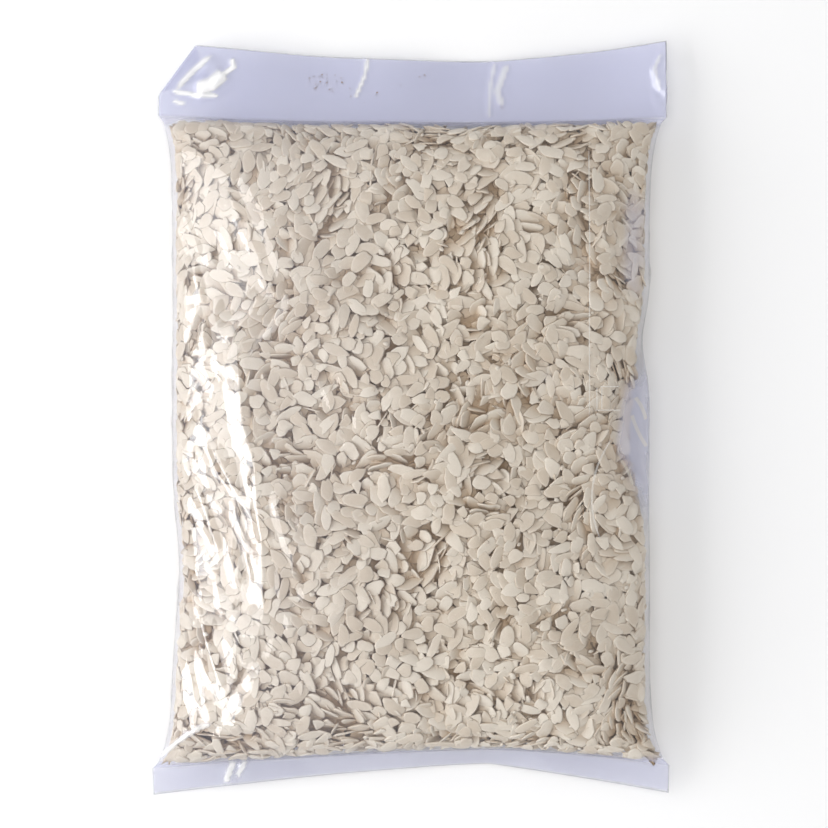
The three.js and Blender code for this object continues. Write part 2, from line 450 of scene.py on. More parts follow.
@dataclass(frozen=True)
class LoosePatch:
    """A round place where the film hangs loose, and how much: its gap, or its crumpling."""

    x: float
    y: float
    half_x: float
    half_y: float
    most: float
    edge: Pair = (0.6, 1.15)

    def over(self, x: Array, y: Array) -> Array:
        """Return how loose the film is at each place."""
        out = np.hypot((x - self.x) / self.half_x, (y - self.y) / self.half_y)
        return self.most * (1.0 - ramp(*self.edge, out))


@dataclass(frozen=True)
class SideGap:
    """A stretch of the right side where the rice has slumped away from the film."""

    y: float
    reach: float
    most: float
    spread: float

    def over(self, to_right: Array, y: Array) -> Array:
        """Return the gap at each way round from the right side and each y."""
        round_side = 1.0 - ramp(0.0, self.spread, np.abs(to_right))
        return self.most * round_side * np.exp(-(((y - self.y) / self.reach) ** 2))


@dataclass(frozen=True)
class Crease:
    """A ridge that the film folds up into, along a line across its face."""

    line: tuple[Place, ...]
    height: float
    left: float
    right: float
    fade: float = 0.25
    # A painted highlight laid along the crest: its strength, and over which share of the height it
    # shows.
    highlight_paint: float = 0.0
    painted_highlight_over: Pair = (0.1, 0.7)

    def painted_highlight(self, x: Array, y: Array) -> Array:
        """Return the painted highlight along the crease at each place."""
        return self.highlight_paint * ramp(*self.painted_highlight_over, self.lift(x, y) / self.height)

    def lift(self, x: Array, y: Array) -> Array:
        """Raise the film along the crease.

        The left flank is on the left of the way from the line's first point to its last.

        Args:
            x: Places across the face.
            y: Places along it.

        Returns:
            The height of the ridge at each place.
        """
        knots = np.array(self.line)
        steps = np.linalg.norm(np.diff(knots, axis=0), axis=1)
        reached = np.concatenate([[0.0], np.cumsum(steps)]) / steps.sum()
        nearest = np.full(np.shape(x), np.inf)
        lift = np.zeros(np.shape(x))
        for k, step in enumerate(steps):
            way = (knots[k + 1] - knots[k]) / step
            dx, dy = x - knots[k, 0], y - knots[k, 1]
            on = np.clip(dx * way[0] + dy * way[1], 0.0, step)
            off_x, off_y = dx - on * way[0], dy - on * way[1]
            off = np.hypot(off_x, off_y)
            flank = np.where(way[0] * off_y - way[1] * off_x > 0, self.left, self.right)
            share = lerp(reached[k], reached[k + 1], on / step)
            taper = ramp(0.0, self.fade, share) * ramp(0.0, self.fade, 1.0 - share)
            ridge = np.clip(1.0 - off / flank, 0.0, 1.0)
            closer = off < nearest
            lift = np.where(closer, self.height * taper * ridge, lift)
            nearest = np.minimum(nearest, off)
        return lift


@dataclass(frozen=True)
class Pleats:
    """A run of straight, flat-sided folds: the way across them, their distance and height."""

    way: float
    apart: float
    height: float


@dataclass(frozen=True)
class Crumple:
    """Folds of stiff film that run across one another, deepest where the film hangs loose."""

    runs: tuple[Pleats, ...] = (
        Pleats(way=math.radians(19), apart=7.5 * MM, height=0.55 * MM),
        Pleats(way=math.radians(-28), apart=13 * MM, height=0.8 * MM),
        Pleats(way=math.radians(62), apart=10 * MM, height=0.4 * MM),
    )
    sway: float = 5 * MM
    sway_cell: float = 31 * MM
    run_cell: float = 17 * MM
    run_over: Pair = (-0.35, 0.4)
    seed: int = 51
    rise: float = 0.35
    tight: float = 0.3
    loose_from_side: Pair = (34 * MM, 58 * MM)
    side_fade: float = 7 * MM
    end_fade: float = 9 * MM
    top_fade: float = 52 * MM

    def folds(self, x: Array, y: Array) -> Array:
        """Return the height of the folds at full strength, at each x and y of a flat sheet."""
        sway = self.sway * Unevenness(self.sway_cell, self.seed).at(x, y)
        lift = np.zeros(np.shape(x))
        for seed, run in enumerate(self.runs, self.seed + 1):
            way = x * math.cos(run.way) + y * math.sin(run.way) + sway
            share = way / run.apart % 1.0
            fold = np.minimum(share / self.rise, (1.0 - share) / (1.0 - self.rise))
            present = ramp(*self.run_over, Unevenness(self.run_cell, seed).at(x, y))
            lift += run.height * fold * present
        return lift

    def lift(self, s: Array, t: Array, to_side: Array, to_top: Array) -> Array:
        """Raise the filled part's film.

        Args:
            s: Ways round the tube.
            t: Ways along it.
            to_side: Ways from there to the nearer side of the bag.
            to_top: Ways from there to the top weld.

        Returns:
            The height of the folds at each place.
        """
        loose = lerp(1.0, self.tight, ramp(*self.loose_from_side, to_side))
        loose = loose * ramp(0.0, self.side_fade, to_side)
        ends = ramp(0.0, self.end_fade, t), ramp(0.0, self.top_fade, to_top)
        return self.folds(s, t) * loose * ends[0] * ends[1]


class FlakeKind(Enum):
    """The kinds of flake that the pressed and tumbled grains come in."""

    OVAL = "flakes_oval"
    POINTED = "flakes_pointed"
    SLENDER = "flakes_slender"
    ROUND = "flakes_round"
    CURLED = "flakes_curled"
    BROKEN = "flakes_broken"
    CHIP = "flakes_chip"


@dataclass(frozen=True)
class FlakeForm:
    """Sizes of one kind of flake, each as its least and most.

    The outline is the rounder the nearer its bluntness is to 2, and point narrows its ends.
    """

    length: Pair
    width: Pair
    thickness: Pair
    bend: Pair
    share: float
    sides: int = 14
    blunt: Pair = (2.1, 2.8)
    point: Pair = (0.0, 0.2)
    domed: bool = True
    snapped: float = 0.1


FORMS: dict[FlakeKind, FlakeForm] = {
    FlakeKind.OVAL: FlakeForm(
        length=(7.8 * MM, 10.8 * MM), width=(4.4 * MM, 5.8 * MM), thickness=(0.35 * MM, 0.6 * MM),
        bend=(-0.6 * MM, 0.3 * MM), share=0.18),
    FlakeKind.POINTED: FlakeForm(
        length=(8.2 * MM, 11.4 * MM), width=(4.2 * MM, 5.6 * MM), thickness=(0.35 * MM, 0.6 * MM),
        bend=(-0.8 * MM, 0.3 * MM), share=0.16, blunt=(2.0, 2.4), point=(0.1, 0.45)),
    FlakeKind.SLENDER: FlakeForm(
        length=(8.6 * MM, 11.6 * MM), width=(3.2 * MM, 4.4 * MM), thickness=(0.35 * MM, 0.6 * MM),
        bend=(-0.8 * MM, 0.4 * MM), share=0.13, point=(0.05, 0.4)),
    FlakeKind.ROUND: FlakeForm(
        length=(5.4 * MM, 7.4 * MM), width=(4.4 * MM, 5.8 * MM), thickness=(0.35 * MM, 0.6 * MM),
        bend=(-0.4 * MM, 0.2 * MM), share=0.12, sides=12),
    FlakeKind.CURLED: FlakeForm(
        length=(7.0 * MM, 10.0 * MM), width=(3.8 * MM, 5.0 * MM), thickness=(0.3 * MM, 0.5 * MM),
        bend=(-1.5 * MM, -0.6 * MM), share=0.1, point=(0.1, 0.5)),
    FlakeKind.BROKEN: FlakeForm(
        length=(4.8 * MM, 7.8 * MM), width=(3.4 * MM, 5.2 * MM), thickness=(0.3 * MM, 0.5 * MM),
        bend=(-0.4 * MM, 0.3 * MM), share=0.23, sides=12, blunt=(2.0, 3.2), snapped=0.85),
    FlakeKind.CHIP: FlakeForm(
        length=(1.6 * MM, 3.2 * MM), width=(1.2 * MM, 2.4 * MM), thickness=(0.3 * MM, 0.5 * MM),
        bend=(0.0, 0.0), share=0.05, sides=6, domed=False, snapped=0.6),
}


@dataclass
class Flakes:
    """Where the settled flakes of one kind lie: one entry for each in every list."""

    place: list[Array] = field(default_factory=list)
    turn: list[Array] = field(default_factory=list)
    size: list[Array] = field(default_factory=list)


@dataclass
class FlakeBed:
    """Flakes settled against the inside of the film, from the film inwards.

    Each of the spreads is a share of the flakes, counted from none, and how far those up to it
    lean at random. The slopes that neighbours share are mostly slight, and steep at their peaks,
    where flakes stand on edge in clumps.
    """

    tube: FilmTube
    starts: Array
    cell: float = 0.5 * MM
    spacing: float = 4.7 * MM
    rounds: int = 84
    batch: int = 100
    near_top: float = 1.15 * MM
    near_belly: float = 3.2 * MM
    deepest: float = 5.0 * MM
    soft: float = 0.76
    end_margin: float = 0.6 * MM
    bare_corner: float = 13 * MM
    stretch_depth: float = 1.5 * MM
    plate_points: tuple[int, int] = (17, 9)
    spreads: tuple[Pair, ...] = ((0.66, 0.11), (0.95, 0.3), (1.0, 0.9))
    slope_cell: float = 17 * MM
    slope_seeds: tuple[int, int] = (31, 32)
    lean: float = 0.28
    steep: float = 0.9
    steep_power: int = 5
    steepest: float = 1.45
    tries: int = 5
    seed: int = 7

    def __post_init__(self) -> None:
        """Start with an empty bed."""
        self.filled = self.starts.copy()
        self.outermost = np.full(self.starts.shape, np.inf)
        self.stretch = self.tube.stretch(self.starts + self.stretch_depth)
        self.random = np.random.default_rng(self.seed)
        self.flakes = {kind: Flakes() for kind in FlakeKind}
        lines = [np.linspace(-1, 1, count) for count in self.plate_points]
        lattice = np.stack(np.meshgrid(*lines), -1).reshape(-1, 2)
        self.plate = lattice[np.hypot(*lattice.T) <= 1.0]
        self.slopes = [Unevenness(self.slope_cell, seed) for seed in self.slope_seeds]
        shares = np.array([form.share for form in FORMS.values()])
        self.shares = shares / shares.sum()

    def cells(self, s: Array, t: Array) -> tuple[Array, Array]:
        """Return the row and column of the raster's cell at each s and t."""
        column = np.floor(s / self.tube.round * self.filled.shape[1]).astype(int)
        row = np.floor(t / self.tube.length * self.filled.shape[0]).astype(int)
        return np.clip(row, 0, self.filled.shape[0] - 1), column % self.filled.shape[1]

    def ways(self, s: float, t: float) -> Array:
        """Draw ways for a flake to lie: leaning with its neighbours, and turned at random.

        Args:
            s: Its way round the tube.
            t: Its way along it.

        Returns:
            Rotation matrices from the flake's axes to s, t and outwards.
        """
        draw = self.random.random()
        spread = next(spread for share, spread in self.spreads if draw < share)
        lean = self.random.normal(0.0, spread, 2)
        slope = np.array([float(one.at(s, t)) for one in self.slopes])
        lean += self.lean * slope + self.steep * slope ** self.steep_power
        steep = float(np.hypot(*lean))
        axis = Vector((lean[0], lean[1], 0.0)).normalized()
        tilt = Matrix.Rotation(min(steep, self.steepest), 3, axis)
        spins = self.random.uniform(0.0, 2 * np.pi, self.tries)
        return np.array([tilt @ Matrix.Rotation(spin, 3, "Z") for spin in spins])

    def settle(self, s: float, t: float, apart: float) -> None:
        """Push a flake outwards until it touches the film or rests on those before it.

        Args:
            s: The way round the tube near which it lies.
            t: The way along it near which it lies.
            apart: How far from there it may lie.
        """
        if self.tube.to_side(s) + min(t, self.tube.length - t) < self.bare_corner:
            return
        kind = list(FORMS)[self.random.choice(len(FORMS), p=self.shares)]
        form = FORMS[kind]
        ranges = (form.length, form.width, form.thickness, form.bend)
        size = np.array([self.random.uniform(*one) for one in ranges])
        ways = self.ways(np.array(s), np.array(t))
        places = self.random.uniform(-apart, apart, (self.tries, 2)) + (s, t)
        x, y = self.plate.T * (size[:2, None] / 2)
        middle = size[3] * (self.plate[:, 0] ** 2 - BEND_LEVEL)
        upper = np.stack([x, y, middle + size[2] / 2])
        lower = np.stack([x, y, middle - size[2] / 2])
        moved = ways @ np.concatenate([upper, lower], axis=1)
        wider = self.stretch[self.cells(places[:, 0], places[:, 1])]
        across = places[:, 0:1] + moved[:, 0] * wider[:, 0:1]
        along = places[:, 1:2] + moved[:, 1] * wider[:, 1:2]
        row, column = self.cells(across, along)
        resting = np.quantile(self.filled[row, column] + moved[:, 2], self.soft, axis=1)
        depth = np.maximum((self.starts[row, column] + moved[:, 2]).max(axis=1), resting)
        last = self.tube.length - self.end_margin
        depth[(along.min(axis=1) < self.end_margin) | (along.max(axis=1) > last)] = np.inf
        best = int(depth.argmin())
        if depth[best] - self.starts[self.cells(*places[best])] > self.deepest:
            return
        cells = row[best], column[best]
        np.maximum.at(self.filled, cells, depth[best] - moved[best, 2])
        np.minimum.at(self.outermost, cells, depth[best] - moved[best, 2])
        start = self.starts[self.cells(*places[best])]
        self.flakes[kind].place.append(
            np.array([*places[best], depth[best], *wider[best], start]))
        self.flakes[kind].turn.append(ways[best])
        self.flakes[kind].size.append(size)

    def fill(self) -> None:
        """Spread a first layer of flakes, then settle more wherever the bed still gapes."""
        columns = int(self.tube.round / self.spacing)
        rows = int(self.tube.length / self.spacing)
        for cell in self.random.permutation(columns * rows):
            s = (cell % columns + 0.5) * self.tube.round / columns
            t = (cell // columns + 0.5) * self.tube.length / rows
            self.settle(s, t, self.spacing / 2)
        s, t = self.tube.raster(self.cell)
        near = np.where(s < self.tube.half_round, self.near_top, self.near_belly)
        for _ in range(self.rounds):
            gaping = np.argwhere(self.outermost > self.starts + near)
            for row, column in self.random.choice(gaping, self.batch):
                self.settle(s[row, column], t[row, column], self.spacing / 4)
        log.info("settled %d flakes", sum(len(one.place) for one in self.flakes.values()))
        log.info("a share of %.3f of the bed still gapes", len(gaping) / s.size)


@dataclass(frozen=True)
class FlakeMaker:
    """Turns settled flakes into one mesh for each kind.

    Rim and shoulder are how far in and how far up each step of a flake's side and face goes,
    and ripples are how many waves run round its outline and how high they are.
    """

    tube: FilmTube
    deep: float = 5 * MM
    rim: Pair = (0.08, 0.84)
    shoulder: Pair = (0.13, 0.12)
    crown: float = 0.03
    ripples: tuple[Pair, ...] = ((2, 0.06), (3, 0.08), (4, 0.06), (5, 0.055), (6, 0.05))
    ripple_share: Pair = (0.2, 1.0)
    chipped: Pair = (-0.13, 0.07)
    least_across: float = 0.05
    taper: Pair = (-0.26, 0.26)
    slant: Pair = (-0.4, 0.4)
    snapped_at: Pair = (0.1, 0.6)
    twist: float = 0.15 * MM
    cup: Pair = (-0.1 * MM, 0.14 * MM)
    seed: int = 21

    def template(self, form: FlakeForm) -> tuple[Array, Array]:
        """Model one flake: a round plate of unit size, its face's edge rounded off.

        Args:
            form: The kind's sizes.

        Returns:
            Its vertices and its triangles.
        """
        bm = bmesh.new()
        bmesh.ops.create_circle(bm, cap_ends=True, segments=form.sides, radius=1.0)
        under = bm.faces[:]
        bmesh.ops.duplicate(bm, geom=under)
        face = [one for one in bm.faces if one not in under]
        for inset, rise in (self.rim, self.shoulder) if form.domed else (self.rim,):
            bmesh.ops.inset_individual(bm, faces=face, thickness=inset, depth=rise)
        if form.domed:
            bmesh.ops.poke(bm, faces=face, offset=self.crown)
        bmesh.ops.translate(bm, verts=bm.verts, vec=(0.0, 0.0, -0.5))
        bmesh.ops.remove_doubles(bm, verts=bm.verts, dist=1e-4)
        bmesh.ops.triangulate(bm, faces=bm.faces)
        bmesh.ops.recalc_face_normals(bm, faces=bm.faces)
        bm.verts.index_update()
        verts = np.array([vert.co[:] for vert in bm.verts])
        triangles = np.array([[vert.index for vert in one.verts] for one in bm.faces])
        bm.free()
        return verts, triangles

    def shaped(self, form: FlakeForm, verts: Array, size: Array,
               random: np.random.Generator) -> Array:
        """Give each flake of a kind an outline and a bend of its own.

        Args:
            form: The kind's sizes.
            verts: The template's vertices.
            size: Length, width, thickness and bend of each flake.
            random: Source of the random draws.

        Returns:
            Vertices of every flake in its own axes, as (flake, vertex, 3).
        """
        each = (len(size), 1)
        x, y, z = verts.T
        angle = np.arctan2(y, x)
        power = random.uniform(*form.blunt, each)
        across, along = np.abs(np.sin(angle)), np.abs(np.cos(angle))
        blunt = (across ** power + along ** power) ** (-1 / power)
        wobble = np.zeros((len(size), len(verts)))
        for waves, height in self.ripples:
            turn = waves * angle + random.uniform(0.0, 2 * np.pi, each)
            wobble += random.uniform(*self.ripple_share, each) * height * np.cos(turn)
        corner = np.round(angle / (2 * np.pi / form.sides)).astype(int) % form.sides
        wobble += random.uniform(*self.chipped, (len(size), form.sides))[:, corner]
        grown = blunt * (1.0 + wobble * np.hypot(x, y))
        taper = random.uniform(*self.taper, each)
        narrowed = np.maximum(across, self.least_across) ** random.uniform(*form.point, each)
        x, y = x * grown, y * grown * narrowed * (1.0 - taper * x)
        slant = random.uniform(*self.slant, each)
        snapped = random.random(each) < form.snapped
        end = np.where(snapped, random.uniform(*self.snapped_at, each), np.inf)
        x = np.minimum(x, end + slant * y)
        bend = size[:, 3:4] * (x ** 2 - BEND_LEVEL)
        twist = random.normal(0.0, self.twist, each) * x * y
        cup = random.normal(*self.cup, each) * y ** 2
        height = z * size[:, 2:3] + bend + twist + cup
        return np.stack([x * size[:, 0:1] / 2, y * size[:, 1:2] / 2, height], axis=-1)

    def build(self, kind: FlakeKind, flakes: Flakes, finish: bpy.types.Material) -> bpy.types.Object:
        """Join every flake of one kind into a mesh.

        Args:
            kind: The kind.
            flakes: Where its flakes lie.
            finish: Material of the flakes.

        Returns:
            The finished piece.
        """
        random = np.random.default_rng(self.seed + list(FlakeKind).index(kind))
        verts, triangles = self.template(FORMS[kind])
        place, size = np.array(flakes.place), np.array(flakes.size)
        own = self.shaped(FORMS[kind], verts, size, random)
        moved = np.einsum("fij,fvj->fvi", np.array(flakes.turn), own)
        across = place[:, 0:1] + moved[..., 0] * place[:, 3:4]
        along = place[:, 1:2] + moved[..., 1] * place[:, 4:5]
        point, normal = self.tube.at(across, along)
        point = point + normal * (moved[..., 2] - place[:, 2:3])[..., None]
        faces = triangles + (np.arange(len(place)) * len(verts))[:, None, None]
        mesh = bpy.data.meshes.new(kind.value)
        mesh.from_pydata(point.reshape(-1, 3), [], faces.reshape(-1, 3))
        paint(mesh, "tone", np.repeat(random.random(len(place)), len(verts)))
        # How deep each point lies below where the bed starts, which the rice finish paints as shade.
        paint(mesh, "sunk", np.ravel(place[:, 2:3] - place[:, 5:6] - moved[..., 2]) / self.deep)
        paint(mesh, "rim", np.tile(np.hypot(verts[:, 0], verts[:, 1]), len(place)))
        return dressed(kind.value, mesh, finish)


def paint(mesh: bpy.types.Mesh, name: str, values: Array) -> None:
    """Store a value for each vertex of a mesh under a name that finishes read."""
    mesh.attributes.new(name, "FLOAT", "POINT").data.foreach_set("value", values.ravel())


def dressed(name: str, mesh: bpy.types.Mesh, finish: bpy.types.Material,
            smooth: bool = True) -> bpy.types.Object:
    """Make a finished piece of the object from its mesh.

    Args:
        name: Name of the piece.
        mesh: Its mesh, in place.
        finish: Its material.
        smooth: Whether its faces are shaded as one smooth surface.

    Returns:
        The piece.
    """
    mesh.materials.append(finish)
    mesh.polygons.foreach_set("use_smooth", np.full(len(mesh.polygons), smooth))
    piece = bpy.data.objects.new(name, mesh)
    bpy.context.collection.objects.link(piece)
    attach(piece, BODY)
    log.info("%s: %d faces", name, len(mesh.polygons))
    return piece


def rolled(name: str, columns: int, rows: int, place: Callable[[Array, Array], Array],
           seam: float = 2e-6) -> tuple[bpy.types.Mesh, Array]:
    """Roll a flat grid into a closed body.

    Args:
        name: Name of the mesh.
        columns: Number of the grid's columns, round the body.
        rows: Number of its rows, along the body.
        place: Gives a point for each share of the way round and along.
        seam: Distance within which points that meet become one.

    Returns:
        The mesh, and the share of the way round and along of each of its vertices.
    """
    bm = bmesh.new()
    bmesh.ops.create_grid(bm, x_segments=columns, y_segments=rows, size=0.5)
    flat = np.array([vert.co[:2] for vert in bm.verts]) + 0.5
    flat = np.round(flat * (columns, rows)) / (columns, rows)
    share = [bm.verts.layers.float.new("round"), bm.verts.layers.float.new("along")]
    for vert, (across, along), point in zip(bm.verts, flat, place(*flat.T)):
        vert.co = point
        vert[share[0]], vert[share[1]] = across, along
    bmesh.ops.remove_doubles(bm, verts=bm.verts, dist=seam)
    bmesh.ops.dissolve_degenerate(bm, edges=bm.edges, dist=seam)
    bmesh.ops.recalc_face_normals(bm, faces=bm.faces)
    if bm.calc_volume(signed=True) < 0:
        bmesh.ops.reverse_faces(bm, faces=bm.faces)
    kept = np.array([[vert[share[0]], vert[share[1]]] for vert in bm.verts])
    mesh = bpy.data.meshes.new(name)
    bm.to_mesh(mesh)
    bm.free()
    return mesh, kept


@dataclass(frozen=True)
class Contents:
    """The rice in the bag: a hidden core, painted dark brown as shade, and the flakes that lie
    against the film.
    """

    tube: FilmTube
    patches: tuple[LoosePatch, ...]
    slump: SideGap
    gap: float = 0.15 * MM
    uneven: tuple[tuple[float, float, int], ...] = (
        (22 * MM, 0.5 * MM, 41), (9 * MM, 0.3 * MM, 42))
    side_gap: float = 1.7 * MM
    side_spread: float = 10 * MM
    core_depth: float = 4.6 * MM
    core_inset: float = 12 * MM
    core_thinness: float = 0.03
    core_end: float = 0.04
    core_columns: int = 150
    core_rows: int = 100

    def starts(self, s: Array, t: Array) -> Array:
        """Return the depth at which the first flakes may lie, at each s and t."""
        depth = self.gap + np.zeros(np.shape(s))
        for cell, height, seed in self.uneven:
            depth = depth + height * (0.5 + 0.5 * Unevenness(cell, seed).at(s, t))
        point, _ = self.tube.at(s, t)
        on_top = s < self.tube.half_round
        for patch in self.patches:
            depth = depth + on_top * patch.over(point[..., 0], point[..., 1])
        depth = depth + self.side_gap * (1.0 - ramp(0.0, self.side_spread, self.tube.to_side(s)))
        return depth + self.slump.over(s - self.tube.half_round, point[..., 1])

    def core_point(self, across: Array, along: Array) -> Array:
        """Find the core's points.

        Args:
            across: Shares of the way round it.
            along: Shares of the way along it.

        Returns:
            The points, with one row for each.
        """
        s = across * self.tube.round
        t = lerp(self.core_inset, self.tube.length - self.core_inset, along)
        point, _ = self.tube.at(s, t)
        beneath, _ = self.tube.at(self.tube.round - s, t)
        starts = self.starts(s, t) + self.starts(self.tube.round - s, t)
        depth = self.core_depth + starts / 2 - self.gap
        room = np.linalg.norm(point - beneath, axis=1) / 2
        kept = np.maximum(1.0 - depth / np.maximum(room, self.gap), self.core_thinness)
        kept *= ramp(0.0, self.core_end, along) * ramp(0.0, self.core_end, 1.0 - along)
        core = lerp((point + beneath) / 2, point, kept[:, None])
        core[:, 0] *= 1.0 - depth / self.tube.shape.waist_half
        return core

    def core(self, finish: bpy.types.Material) -> bpy.types.Object:
        """Build the core, whose dark brown is painted shade where it shows between the flakes."""
        mesh, _ = rolled("rice_core_painted_shade", self.core_columns, self.core_rows, self.core_point)
        return dressed("rice_core_painted_shade", mesh, finish)


@dataclass(frozen=True)
class Fold:
    """A fold that turns the header's corner under, along a line across it."""

    start: Place = (-91.8 * MM, 117.6 * MM)
    end: Place = (-78.2 * MM, 136.7 * MM)
    radius: float = 0.75 * MM

    def turn(self, point: Array) -> Array:
        """Turn under whatever lies beyond the fold.

        Args:
            point: Points of the flat header, with one row for each.

        Returns:
            The points once it is folded.
        """
        way = np.array(self.end) - self.start
        way = way / np.linalg.norm(way)
        beyond = np.array([-way[1], way[0]])
        out = (point[:, :2] - self.start) @ beyond + self.radius
        bent = np.clip(out / self.radius, 0.0, np.pi)
        moved = self.radius * np.sin(bent) - np.maximum(out - np.pi * self.radius, 0.0)
        folded = point.copy()
        folded[:, :2] += np.where(out > 0, moved - out, 0.0)[:, None] * beyond
        folded[:, 2] -= self.radius * (1.0 - np.cos(bent))
        return folded


@dataclass(frozen=True)
class Film:
    """The bag's film: one closed tube, its two bands pressed flat beyond the welds.

    The spans are how many cells the film bridges and how many it is blurred over, on the shown
    face, on the belly and where its room to the flakes is measured.
    """

    bed: FlakeBed
    creases: tuple[Crease, ...]
    band_creases: tuple[Crease, ...]
    crumpled: tuple[LoosePatch, ...]
    crumple: Crumple = Crumple()
    fold: Fold = Fold()
    columns: int = 384
    rows_down: int = 8
    rows_between: int = 210
    rows_up: int = 36
    sheets_apart: float = 0.12 * MM
    closed_from: float = 0.85
    spans: tuple[tuple[int, float], ...] = ((3, 1.6), (7, 3.6), (6, 4.0))
    face_blend: float = 4 * MM
    clearance: float = 0.1 * MM
    rest_z: float = 0.05 * MM
    sag: float = 0.8 * MM
    end_fade: float = 4 * MM
    side_fade: float = 3 * MM
    # On the left, the haze of tight and of loose film is raised as a painted sheen, fading out to
    # the right.
    tight_haze_and_sheen: Pair = (0.08, 0.015)
    tight_over: Pair = (-60 * MM, 30 * MM)
    left_haze_and_sheen: float = 0.26
    loose_haze: float = 0.34
    left_to_right: Pair = (-70 * MM, 40 * MM)
    bottom_haze: float = 0.31
    # Painted light laid over the bottom band.
    bottom_painted_light: float = 0.12
    header_haze: float = 0.46
    slack_from: Pair = (0.5 * MM, 1.9 * MM)
    weld_haze: float = 0.55
    weld_reach: float = 11 * MM
    ragged: Pair = (0.55, 0.45)
    ragged_edge: Unevenness = Unevenness(6 * MM, 61)
    # Painted light laid in a strip below the top weld, over shade seen through the film.
    weld_painted_light: float = 0.4
    weld_line: float = 3 * MM

    @property
    def tube(self) -> FilmTube:
        """Return the film's smooth form."""
        return self.bed.tube

    def draped(self) -> tuple[Array, Array]:
        """Draw the film over the flakes.

        Returns:
            Rasters of the film's depth and of the room between film and flakes.
        """
        touched = np.where(np.isfinite(self.bed.outermost), self.bed.outermost, self.bed.deepest)
        on_top, below, highest = (blurred(eroded(touched, cells), blur)
                                  for cells, blur in self.spans)
        s, t = self.bed.tube.raster(self.bed.cell)
        low = ramp(-self.face_blend, self.face_blend, s - self.tube.half_round)
        low = low * ramp(0.0, self.face_blend, self.tube.round - s)
        depth = lerp(on_top, below, low) - self.clearance
        depth = self.sag * (1.0 - np.exp(-np.maximum(depth, 0.0) / self.sag))
        depth = depth * ramp(0.0, self.end_fade, t) * ramp(0.0, self.end_fade, self.tube.length - t)
        return depth, highest - depth

    def flat(self, band: Band, x: Array, share: Array) -> Array:
        """Return points of a creased band at each x and share of the way to its free edge."""
        point = self.tube.shape.band_point(band, x, share)
        place = point[:, 0], point[:, 1]
        point[:, 2] += sum(crease.lift(*place) for crease in self.band_creases)
        point[:, 2] += self.crumple.folds(*place) * sum(one.over(*place) for one in self.crumpled)
        return point

    def point(self, across: Array, along: Array, depth: Array) -> Array:
        """Find the film's points.

        Args:
            across: Shares of the way round it.
            along: Shares of its rows.
            depth: Raster of its depth.

        Returns:
            The points, with one row for each.
        """
        shape = self.tube.shape
        s = across * self.tube.round
        row = along * (self.rows_down + self.rows_between + self.rows_up)
        body = np.clip((row - self.rows_down) / self.rows_between, 0.0, 1.0)
        t = body * self.tube.length
        point, normal = self.tube.at(s, t)
        on_top = s < self.tube.half_round
        to_side = self.tube.to_side(s)
        lift = sum(crease.lift(point[:, 0], point[:, 1]) for crease in self.creases)
        lift = lift * on_top * ramp(0.0, self.side_fade, to_side)
        lift += self.crumple.lift(s, t, to_side, self.tube.length - t)
        point = point + normal * (lift - sampled(depth, across, body))[:, None]
        parted = self.sheets_apart * ramp(0.0, self.side_fade, to_side)
        bands = (
            (shape.bottom, (self.rows_down - row) / self.rows_down),
            (shape.top, (row - self.rows_down - self.rows_between) / self.rows_up),
        )
        for band, share in bands:
            flat = self.flat(band, point[:, 0], np.clip(share, 0.0, 1.0))
            point = np.where(share[:, None] > 0, flat, point)
            parted = parted * ramp(1.0, self.closed_from, share)
        point[:, 2] += np.where(on_top, parted, -parted)
        point = self.fold.turn(point)
        point[:, 2] = np.maximum(point[:, 2], self.rest_z)
        return point

    def haze(self, across: Array, row: Array, room: Array) -> Array:
        """Tell how hazy the film looks.

        Args:
            across: Shares of the way round it.
            row: Rows along it.
            room: Raster of the room between film and flakes.

        Returns:
            How much of it hides what lies behind, from 0 to 1.
        """
        body = np.clip((row - self.rows_down) / self.rows_between, 0.0, 1.0)
        s, t = across * self.tube.round, body * self.tube.length
        point, _ = self.tube.at(s, t)
        room = sampled(room, across, body)
        # On the left, haze is raised as a painted sheen.
        loose = lerp(self.left_haze_and_sheen, self.loose_haze, ramp(*self.left_to_right, point[:, 0]))
        tight = lerp(*self.tight_haze_and_sheen, ramp(*self.tight_over, point[:, 0]))
        haze = lerp(tight, loose, ramp(*self.slack_from, room))
        ragged = self.weld_reach * (self.ragged[0] + self.ragged[1] * self.ragged_edge.at(s, t))
        by_weld = 1.0 - ramp(0.0, 1.0, np.minimum(t, self.tube.length - t) / ragged)
        haze = np.maximum(haze, self.weld_haze * by_weld)
        haze = np.where(row < self.rows_down, self.bottom_haze, haze)
        return np.where(row > self.rows_down + self.rows_between, self.header_haze, haze)

    def painted_highlight(self, across: Array, row: Array, place: Array) -> Array:
        """Tell where painted light lies on the film: painted highlights along the creases, a strip
        below the top weld and the whole bottom band.

        Args:
            across: Shares of the way round the film.
            row: Rows along it.
            place: Its points, with one row for each.

        Returns:
            How much painted light each point gets, from 0 to 1.
        """
        x, y = place[:, 0], place[:, 1]
        in_body = (row > self.rows_down) & (row < self.rows_down + self.rows_between)
        on_body = np.max([one.painted_highlight(x, y) for one in self.creases], axis=0)
        # A strip of painted light below the top weld.
        to_weld = (self.rows_down + self.rows_between - row) * self.tube.length / self.rows_between
        on_body = np.maximum(on_body, self.weld_painted_light * (1.0 - ramp(0.0, self.weld_line, to_weld)))
        on_bands = np.max([one.painted_highlight(x, y) for one in self.band_creases], axis=0)
        # Painted light over the whole bottom band.
        on_bands = np.where(row < self.rows_down, np.maximum(on_bands, self.bottom_painted_light), on_bands)
        return np.where(in_body, on_body * (across < 0.5), on_bands)

